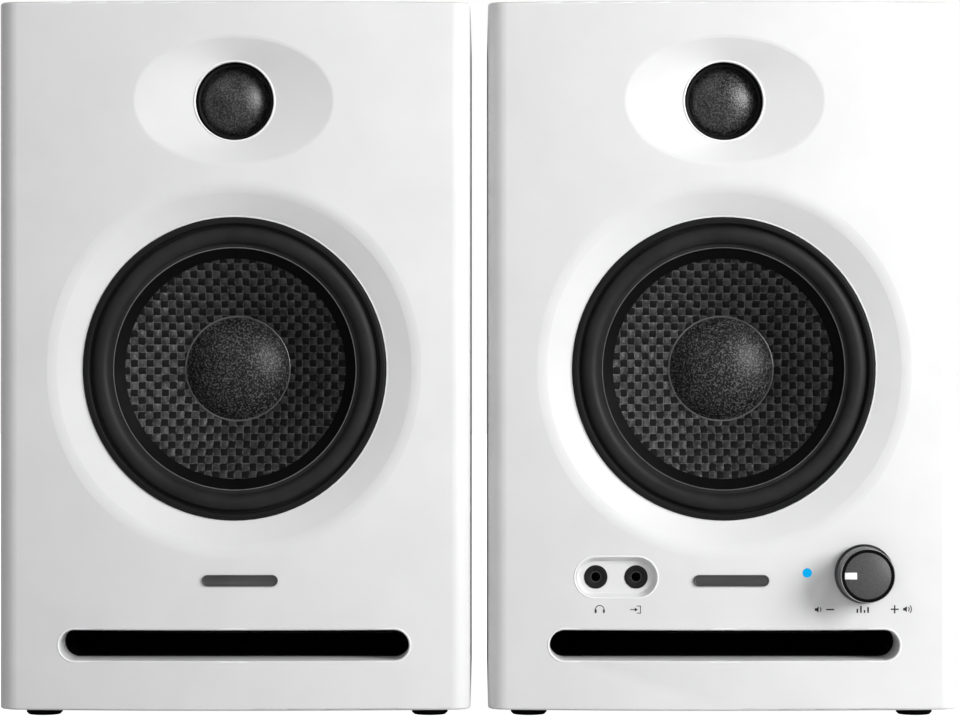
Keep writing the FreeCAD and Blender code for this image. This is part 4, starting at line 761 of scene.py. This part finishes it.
def tow_height(across, up):
    """How far the uppermost tow stands above the crossings: flat across its width, and arched along its run.
    The tows are counted from the frame's own origin, as the pattern of the cone's finish is."""
    column, row = math.floor(across / TOW), math.floor(up / TOW)
    u, v = across / TOW - column - 0.5, up / TOW - row - 0.5
    along, wide = (v, u) if (column + row) % 2 == 0 else (u, v)
    return TOW_RISE * math.cos(math.pi * along) ** 0.8 * (1 - (2 * abs(wide)) ** 5)


def dust_cap(side, centre, finishes):
    """A pressed dome, with a narrow foot glued to the cone and a crease above the foot."""
    foot = DUST_CAP_RADIUS + DUST_CAP_FOOT
    edge = cone_depth(DUST_CAP_RADIUS) - DUST_CAP_WALL
    bore = DUST_CAP_RADIUS - 2 * DUST_CAP_WALL
    outside = [
        (foot, cone_depth(foot) + 0.1),
        (foot, cone_depth(foot) - 0.32),
        (foot - 0.2, cone_depth(foot) - 0.42),
        (DUST_CAP_RADIUS + 0.15, edge + 0.02),
    ]
    outside += dome(DUST_CAP_RADIUS, edge - 0.1, DUST_CAP_HEIGHT - 0.1, 26)
    inside = dome(bore, cone_depth(bore), DUST_CAP_HEIGHT - 0.4, 20)[::-1]
    piece = turned(side + "_cap", outside + inside, centre, STEPS_MIDDLING, on_axis=True)
    polish(piece, 40)
    finish(piece, finishes["dust_cap"], "dust_cap", side + "_woofer_cone", side + "_woofer_dust_cap")
    piece.data.materials.append(finishes["rubber_painted_highlight"])
    # Forward-facing faces of the foot take the lighter rubber: a painted highlight line round the cap's edge.
    for face in piece.data.polygons:
        on_foot = out_from(centre, face.center) > DUST_CAP_RADIUS + 0.2
        face.material_index = 1 if on_foot and face.normal.y < -0.3 else 0


# ================================================================ tweeter
def tweeter_dome(side, centre, finishes):
    """The cloth dome, with the thin former that carries its coil."""
    edge, top = DOME_SEAT, DOME_HEIGHT
    joint = edge + 0.3
    bore = DOME_RADIUS - DOME_SKIN
    outside = [(DOME_RADIUS, joint), (DOME_RADIUS, edge)]
    outside += dome(DOME_RADIUS - 0.05, edge - 0.02, top - 0.02, 24)
    inside = dome(bore, edge, top - DOME_SKIN, 18)[::-1] + [(bore, joint)]
    dome_piece = turned(side + "_dome", outside + inside, centre, STEPS_SMALL, on_axis=True)
    end = joint + FORMER_LENGTH
    wall = [(DOME_RADIUS, joint), (DOME_RADIUS, end), (bore, end), (bore, joint)]
    former = turned(side + "_former", wall, centre, STEPS_SMALL)
    piece = joined(side + "_dome", [dome_piece, former])
    polish(piece, 40)
    finish(piece, finishes["dome_silk"], "dome_silk", side + "_tweeter_dome", side + "_tweeter_dome")


def dome_roll(side, centre, finishes):
    """The small half roll that holds the dome by its edge, with its land clamped behind the flange."""
    middle = (DOME_ROLL_INNER + DOME_ROLL_OUTER) / 2
    half = (DOME_ROLL_OUTER - DOME_ROLL_INNER) / 2

    def roll(seat, reach, start, end):
        turns = [math.radians(start + (end - start) * k / 16) for k in range(17)]
        return [(middle + reach * math.cos(t), seat - DOME_ROLL_HEIGHT * math.sin(t)) for t in turns]

    back_seat = DOME_ROLL_SEAT + DOME_ROLL_SKIN
    section = [(DOME_ROLL_LAND, DOME_ROLL_SEAT)] + roll(DOME_ROLL_SEAT, half, 0, 180)
    section += [(DOME_ROLL_INNER, back_seat)] + roll(back_seat, half - DOME_ROLL_SKIN, 180, 0)
    section += [(DOME_ROLL_LAND, back_seat)]
    piece = turned(side + "_dome_roll", section, centre, STEPS_SMALL)
    polish(piece, 40)
    piece.data.materials.append(finishes["ring_plastic"])
    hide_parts(side + "_tweeter_surround")
    stretch_between(piece, side + "_tweeter_dome", side, centre, DOME_ROLL_INNER, DOME_ROLL_OUTER)


# ================================================================ controls
def volume_knob(finishes):
    """A tapered metal knob with a bright turned edge, a black rim and a blasted face let into it."""
    low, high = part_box("right_volume_knob")
    centre = Vector(((low.x + high.x) / 2, high.y, (low.z + high.z) / 2))
    front = -KNOB_LENGTH
    body = turned(
        "volume_knob",
        [
            (0, front + INLAY_SINK + INLAY_THICK),
            (KNOB_INLAY + 0.05, front + INLAY_SINK + INLAY_THICK),
            (KNOB_INLAY + 0.05, front + RIM_DEPTH),
            (KNOB_FACE, front + KNOB_CHAMFER),
            (KNOB_FACE + KNOB_SKIRT[0][0], KNOB_SKIRT[0][1]),
            (KNOB_BASE + KNOB_SKIRT[1][0], KNOB_SKIRT[1][1]),
            (KNOB_BASE + KNOB_SKIRT[2][0], KNOB_SKIRT[2][1]),
            (KNOB_BASE, 0),
            (KNOB_BASE - KNOB_WALL[0], 0),
            (KNOB_BASE - KNOB_WALL[1], front + KNOB_CAVITY),
            (STEM_TUBE, front + KNOB_CAVITY),
            (STEM_TUBE, STEM_END),
            (STEM_BORE, STEM_END),
            (STEM_BORE, front + STEM_FLOOR),
            (0, front + STEM_FLOOR),
        ],
        centre,
        STEPS_MIDDLING,
        on_axis=True,
    )
    soften(body, 0.08, 2)
    polish(body)
    finish(body, finishes["knob_metal"], "knob_plastic", "volume_button", "right_volume_knob")

    rim = turned(
        "volume_rim",
        [
            (KNOB_INLAY + 0.06, front + RIM_DEPTH),
            (KNOB_INLAY + 0.06, front + 0.04),
            (KNOB_INLAY + 0.2, front),
            (KNOB_RIM - 0.1, front),
            (KNOB_RIM, front + 0.06),
            (KNOB_RIM, front + RIM_DEPTH),
        ],
        centre,
        STEPS_MIDDLING,
    )
    polish(rim)
    finish(rim, finishes["lip_rubber"], "knob_plastic", "volume_button")

    edge_band = turned(
        "volume_edge",
        [
            (KNOB_RIM + 0.02, front + RIM_DEPTH),
            (KNOB_RIM + 0.02, front + 0.02),
            (KNOB_FACE - 0.1, front + 0.12),
            (KNOB_FACE + 0.01, front + RIM_DEPTH),
            (KNOB_FACE, front + KNOB_CHAMFER + 0.01),
        ],
        centre,
        STEPS_MIDDLING,
    )
    polish(edge_band)
    finish(edge_band, finishes["shaft_metal"], "knob_plastic", "volume_button")

    face = turned(
        "volume_face",
        [
            (0, front + INLAY_SINK),
            (KNOB_INLAY - 0.2, front + INLAY_SINK),
            (KNOB_INLAY, front + INLAY_SINK + 0.12),
            (KNOB_INLAY, front + INLAY_SINK + INLAY_THICK),
            (0, front + INLAY_SINK + INLAY_THICK),
        ],
        centre,
        STEPS_MIDDLING,
        on_axis=True,
    )
    edge = centre.x - (KNOB_INLAY + 0.03) * MM
    level = centre.y + (front + INLAY_SINK) * MM
    start = Vector((edge + (POINTER_LENGTH - 1) / 2 * MM, level, centre.z))
    notch = cube("pointer_notch", start, (POINTER_LENGTH + 1, 2 * POINTER_SINK, POINTER_WIDTH))
    cut = face.modifiers.new("pointer_slot", "BOOLEAN")
    cut.object = notch
    cut.operation = "DIFFERENCE"
    cut.solver = "EXACT"
    apply(face, cut)
    bpy.data.objects.remove(notch)
    polish(face)
    finish(face, finishes["knob_inlay"], "knob_plastic", "volume_button")

    inlay = Vector((edge + POINTER_LENGTH / 2 * MM, level + POINTER_SINK / 2 * MM, centre.z))
    pointer = cube("volume_pointer", inlay, (POINTER_LENGTH - 0.1, POINTER_SINK, POINTER_WIDTH - 0.1))
    soften(pointer, 0.05, 2)
    polish(pointer)
    finish(pointer, finishes["pointer_white"], "knob_plastic", "volume_button")


# ================================================================ badges and printed marks
def front_depth(x):
    """How far the bowed front lies behind its foremost line, at a distance from the speaker's middle."""
    return FRONT_BOW_RADIUS - math.sqrt(FRONT_BOW_RADIUS**2 - x**2)


def lip(name, middle, radius, flat, bowed, side, finishes):
    """A fine raised bead round an opening: a ring, drawn out sideways for an opening with straight sides. It
    takes a white lighter than the front's, as a painted highlight line.
    """
    put_down()
    bpy.ops.mesh.primitive_torus_add(
        major_segments=STEPS_MIDDLING,
        minor_segments=12,
        major_radius=radius * MM,
        minor_radius=LIP_THICK * MM,
        location=middle,
        rotation=(math.pi / 2, 0, 0),
    )
    piece = named(name)
    for vertex in piece.data.vertices:
        out = (vertex.co.x - middle.x) / MM
        if abs(out) > 0.001:
            vertex.co.x += math.copysign(flat / 2, out) * MM
        if bowed is not None:
            vertex.co.y += front_depth(bowed + (vertex.co.x - middle.x) / MM) * MM
    polish(piece, 60)
    finish(piece, finishes["lip_white_painted_highlight"], "white_moulding", SPEAKERS[side])


def badge(side, face, finishes):
    """A plain raised lozenge with a sunk panel."""
    middle = face + Vector((BADGE_X, front_depth(BADGE_X), BADGE_Z)) * MM
    piece = cube(side + "_badge", middle, (BADGE_WIDTH, 2 * BADGE_PROUD, BADGE_HEIGHT))
    pick(
        piece,
        "edges",
        lambda place, item: abs(place.x - middle.x) > 0.49 * BADGE_WIDTH * MM
        and abs(place.z - middle.z) > 0.49 * BADGE_HEIGHT * MM,
    )
    bpy.ops.mesh.bevel(offset=(BADGE_HEIGHT / 2 - 0.05) * MM, segments=8)
    bpy.ops.object.mode_set(mode="OBJECT")
    pick(piece, "polygons", lambda place, item: item.normal.y < -0.9)
    bpy.ops.mesh.inset(thickness=0.45 * MM)
    bpy.ops.mesh.inset(thickness=0.12 * MM, depth=-0.15 * MM)
    bpy.ops.object.mode_set(mode="OBJECT")
    soften(piece, 0.08, 2)
    polish(piece)
    finish(piece, finishes["badge_grey"], "black_plastic", SPEAKERS[side])


def printed(name, origin, x, z, shapes, ink, body="powered_speaker", bowed=True):
    """Flat ink shapes, each an outline of (across, up) points about the mark's middle. On the front they
    follow its bow."""
    pieces = []
    for outline in shapes:
        put_down()
        bpy.ops.mesh.primitive_circle_add(
            vertices=len(outline), radius=MM, fill_type="NGON", location=origin, rotation=(math.pi / 2, 0, 0)
        )
        shape = named(name)
        for vertex, (across, up) in zip(shape.data.vertices, outline):
            depth = front_depth(x + across) - MARK_THICK / 2 if bowed else 0
            vertex.co = origin + Vector((x + across, depth, z + up)) * MM
        thicken(shape, MARK_THICK, 0)
        pick(shape, "polygons", lambda middle, item: True)
        close_up(0.00001)
        pieces.append(shape)
    piece = joined(name, pieces) if len(pieces) > 1 else pieces[0]
    finish(piece, ink, "black_plastic", body)


def band(middle, inner, outer, start, end, steps=12):
    """An outline of part of a ring."""
    return arc(middle, outer, start, end, steps) + arc(middle, inner, end, start, steps)


def bar(x0, x1, z0, z1):
    """An outline of a straight stroke."""
    return [(x0, z0), (x1, z0), (x1, z1), (x0, z1)]


def control_marks(face, finishes):
    """Plain signs under the sockets and round the knob, each at its own place across the front."""
    arrow = [(-1.9, -0.14), (-0.4, -0.14), (-0.4, -0.65), (0.5, 0), (-0.4, 0.65), (-0.4, 0.14), (-1.9, 0.14)]
    bracket = [(0.2, -1.25), (1.5, -1.25), (1.5, 1.25), (0.2, 1.25), (0.2, 1.0), (1.25, 1.0)]
    bracket += [(1.25, -1.0), (0.2, -1.0)]
    bars = [bar(-2.0, -1.5, -1.1, 0.2), bar(-0.85, -0.35, -1.1, 1.1)]
    bars += [bar(0.3, 0.8, -1.1, -0.2), bar(1.45, 1.95, -1.1, 0.7)]
    headphones = [band((0, -0.1), 1.25, 1.5, 0, 180, 20)]
    headphones += [bar(-1.6, -1.0, -1.1, 0.0), bar(1.0, 1.6, -1.1, 0.0)]
    horn = [(-1.1, -0.4), (-0.6, -0.4), (0.1, -0.95), (0.1, 0.95), (-0.6, 0.4), (-1.1, 0.4)]
    near_wave, far_wave = band((-0.3, 0), 1.0, 1.3, -36, 36), band((-0.3, 0), 1.7, 2.0, -40, 40)
    marks = {
        "headphone_mark": (-39.6, headphones),
        "line_in_mark": (-28.1, [arrow, bracket]),
        "quiet_mark": (29.6, [horn, near_wave]),
        "minus_mark": (33.4, [bar(-1.3, 1.3, -0.21, 0.21)]),
        "mode_mark": (43.8, bars),
        "plus_mark": (54.0, plus_shapes(1.3, 0.21)),
        "loud_mark": (57.8, [horn, near_wave, far_wave]),
    }
    for name, (x, shapes) in marks.items():
        printed(name, face, x, MARK_Z, shapes, finishes["mark_ink"])


def plus_shapes(reach, half):
    """Outlines of a plus sign: a bar across, and one above and one below it."""
    return [bar(-reach, reach, -half, half), bar(-half, half, half, reach), bar(-half, half, -reach, -half)]


def ticks(inner, outer, half, count, sweep):
    """Short radial strokes round a knob, the middle one straight up."""
    strokes = []
    for k in range(count):
        turn = math.radians(sweep * (k / (count - 1) - 0.5))
        out, side = Vector((math.sin(turn), math.cos(turn))), Vector((math.cos(turn), -math.sin(turn)))
        corners = [(inner, -half), (inner, half), (outer, half), (outer, -half)]
        strokes.append([tuple(out * radius + side * aside) for radius, aside in corners])
    return strokes


def rear_marks(finishes):
    """Scales for the tone controls, signs for the wire clips, and coloured rings at the line-in sockets."""
    white, dark = finishes["pointer_white"], finishes["mark_ink"]
    plate = Vector((0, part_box("right_amp_plate")[1].y, 0))
    for control in ("treble", "bass"):
        low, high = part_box("right_" + control + "_knob")
        x, z = (low.x + high.x) / 2 / MM, (low.z + high.z) / 2 / MM
        aside, below = SCALE_SIGN[0], z - SCALE_SIGN[1]
        scale = ticks(*SCALE_RADII, STROKE, SCALE_STROKES, SCALE_SWEEP)
        minus = bar(-1.1, 1.1, -STROKE, STROKE)
        printed(control + "_scale", plate, x, z, scale, white, bowed=False)
        printed(control + "_less", plate, x + aside, below, [minus], white, bowed=False)
        printed(control + "_more", plate, x - aside, below, plus_shapes(1.1, STROKE), white, bowed=False)
        top = Vector((0, high.y, 0))
        stroke = [bar(-0.4, 0.4, 1.6, 5.2)]
        printed(control + "_pointer", top, x, z, stroke, white, body=control + "_control", bowed=False)
    for side, ink in (("right", white), ("left", dark)):
        for clip, shapes in (("red", plus_shapes(1.4, 0.28)), ("black", [bar(-1.4, 1.4, -0.28, 0.28)])):
            low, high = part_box(side + "_" + clip + "_clip")
            x = (low.x + high.x) / 2 / MM
            low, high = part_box(side + "_terminal_block")
            name = side + "_" + clip + "_sign"
            printed(name, plate, x, low.z / MM - SIGN_DROP, shapes, ink, SPEAKERS[side], bowed=False)
    low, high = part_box("right_rca_jacks")
    for name, turn, colour in (("rca_red_ring", 1, "red_plastic"), ("rca_white_ring", -1, "pointer_white")):
        centre = Vector(((low.x + high.x) / 2 + turn * RCA_OFFSET * MM, plate.y, (low.z + high.z) / 2))
        ring = turned(name, RCA_RING, centre, STEPS_TINY)
        soften(ring, 0.1, 2)
        polish(ring)
        finish(ring, finishes[colour], "red_plastic" if turn > 0 else "white_moulding", "powered_speaker")


def socket_sleeves(face, finishes):
    """The bright metal throat inside each front socket."""
    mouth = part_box("right_front_jacks")[0].y
    for name, turn in (("phones_sleeve", -1), ("line_in_sleeve", 1)):
        centre = Vector((face.x + (WELL_X + turn * SOCKET_SPACING / 2) * MM, mouth, WELL_Z * MM))
        section = [(SLEEVE_OUTER, 0.9), (SLEEVE_BORE + 0.1, 0.9), (SLEEVE_BORE, 1.05)]
        section += [(SLEEVE_BORE, 4.5), (SLEEVE_OUTER, 4.5)]
        sleeve = turned(name, section, centre, STEPS_TINY)
        polish(sleeve)
        finish(sleeve, finishes["screw_steel"], "plated_steel", "powered_speaker")


# ================================================================ studio
def studio():
    """The camera, the room's light, the paper floor and the lamps."""
    camera = bpy.data.objects.new("camera", bpy.data.cameras.new("camera"))
    bpy.context.collection.objects.link(camera)
    camera.location = Vector(CAMERA_PLACE) * MM
    camera.rotation_euler = (math.pi / 2, 0, 0)
    camera.data.lens = CAMERA_LENS
    camera.data.sensor_width = CAMERA_SENSOR
    bpy.context.scene.camera = camera
    bpy.context.scene.view_settings.view_transform = "Standard"

    world = bpy.context.scene.world or bpy.data.worlds.new("studio")
    bpy.context.scene.world = world
    world.use_nodes = True
    tree = world.node_tree
    direction = tree.nodes.new("ShaderNodeTexCoord")
    split = tree.nodes.new("ShaderNodeSeparateXYZ")
    share = tree.nodes.new("ShaderNodeMapRange")
    share.inputs["From Min"].default_value = -1.0
    ramp = tree.nodes.new("ShaderNodeValToRGB")
    while len(ramp.color_ramp.elements) < len(ROOM_LIGHT):
        ramp.color_ramp.elements.new(0.5)
    for stop, (place, level) in zip(ramp.color_ramp.elements, ROOM_LIGHT):
        stop.position = place
        stop.color = (level, level, level, 1)
    tree.links.new(direction.outputs["Generated"], split.inputs[0])
    tree.links.new(split.outputs["Y"], share.inputs["Value"])
    tree.links.new(share.outputs["Result"], ramp.inputs["Fac"])
    seen = tree.nodes.new("ShaderNodeLightPath")
    paper_white = tree.nodes.new("ShaderNodeMix")
    paper_white.data_type = "RGBA"
    wall = tree.nodes.new("ShaderNodeMapRange")
    for name, value in zip(("From Min", "From Max", "To Min", "To Max"), (*WALL_SHARE, *WALL_WHITE)):
        wall.inputs[name].default_value = value
    tree.links.new(share.outputs["Result"], wall.inputs["Value"])
    tree.links.new(wall.outputs["Result"], paper_white.inputs[7])
    tree.links.new(seen.outputs["Is Camera Ray"], paper_white.inputs[0])
    tree.links.new(ramp.outputs["Color"], paper_white.inputs[6])
    tree.links.new(paper_white.outputs[2], tree.nodes["Background"].inputs["Color"])
    tree.nodes["Background"].inputs["Strength"].default_value = 1.0

    put_down()
    bpy.ops.mesh.primitive_plane_add(size=FLOOR_WIDTH, location=(0, 0, 0))
    floor = named("floor")
    paper, shader = finish_named("pale_floor", (0.62, 0.62, 0.62), 0.8, specular=0.0)
    shader.inputs["Emission Color"].default_value = (1, 1, 1, 1)
    place = node(paper, "SeparateXYZ")
    link(paper, object_place(paper), place.inputs[0])
    glow = node(paper, "Math", operation="MULTIPLY")
    link(paper, between(paper, place.outputs["Y"], *PAPER_GLOW, *PAPER_GLOW_Y), glow.inputs[0])
    link(paper, node(paper, "LightPath").outputs["Is Camera Ray"], glow.inputs[1])
    link(paper, glow.outputs[0], shader.inputs["Emission Strength"])
    floor.data.materials.append(paper)

    for name, (place, aim, size, power) in LAMPS.items():
        soft_light(name, place, aim, size, power)


def soft_light(name, place, aim, size, power):
    """A square lamp that faces its aim and isn't seen itself."""
    lamp = bpy.data.lights.new(name, "AREA")
    lamp.shape = "SQUARE"
    lamp.size = size
    lamp.energy = power
    holder = bpy.data.objects.new(name, lamp)
    bpy.context.collection.objects.link(holder)
    holder.visible_camera = False
    holder.location = place
    holder.rotation_euler = (Vector(aim) - Vector(place)).to_track_quat("-Z", "Y").to_euler()


# ================================================================ the whole pair
def main():
    start_fresh()
    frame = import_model()
    finishes = make_finishes()
    for cad_node in frame["nodes"].values():
        for place in cad_node.material_slots:
            place.material = finishes[place.material.name]

    for side in SPEAKERS:
        low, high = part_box(side + "_woofer_trim_ring")
        woofer = Vector(((low.x + high.x) / 2, high.y, (low.z + high.z) / 2))
        low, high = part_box(side + "_tweeter_flange")
        tweeter = Vector(((low.x + high.x) / 2, low.y, (low.z + high.z) / 2))
        low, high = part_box(side + "_front_baffle")
        face = Vector(((low.x + high.x) / 2, low.y, 0))
        trim_ring(side, woofer, finishes)
        surround(side, woofer, finishes)
        cone_weave(side, woofer, finishes)
        dust_cap(side, woofer, finishes)
        spider(side, woofer, finishes)
        tweeter_dome(side, tweeter, finishes)
        dome_roll(side, tweeter, finishes)
        badge(side, face, finishes)
        throat = tweeter + Vector((0, THROAT_LIP_DEPTH, 0)) * MM
        lip(side + "_throat_lip", throat, THROAT_RADIUS + 0.25, 0, None, side, finishes)
        sunk = LIP_THICK - LIP_PROUD
        slot_middle = face + Vector((0, sunk, SLOT_Z)) * MM
        straight = SLOT_WIDTH - SLOT_HEIGHT
        lip(side + "_slot_lip", slot_middle, SLOT_HEIGHT / 2 + SLOT_LIP_OUT, straight, 0, side, finishes)
        if side == "right":
            well = face + Vector((WELL_X, sunk, WELL_Z)) * MM
            level = WELL_WIDTH - WELL_HEIGHT
            lip("jack_well_lip", well, WELL_HEIGHT / 2 + 0.2, level, WELL_X, side, finishes)
            control_marks(face, finishes)
            socket_sleeves(face, finishes)
    volume_knob(finishes)
    rear_marks(finishes)
    studio()


main()
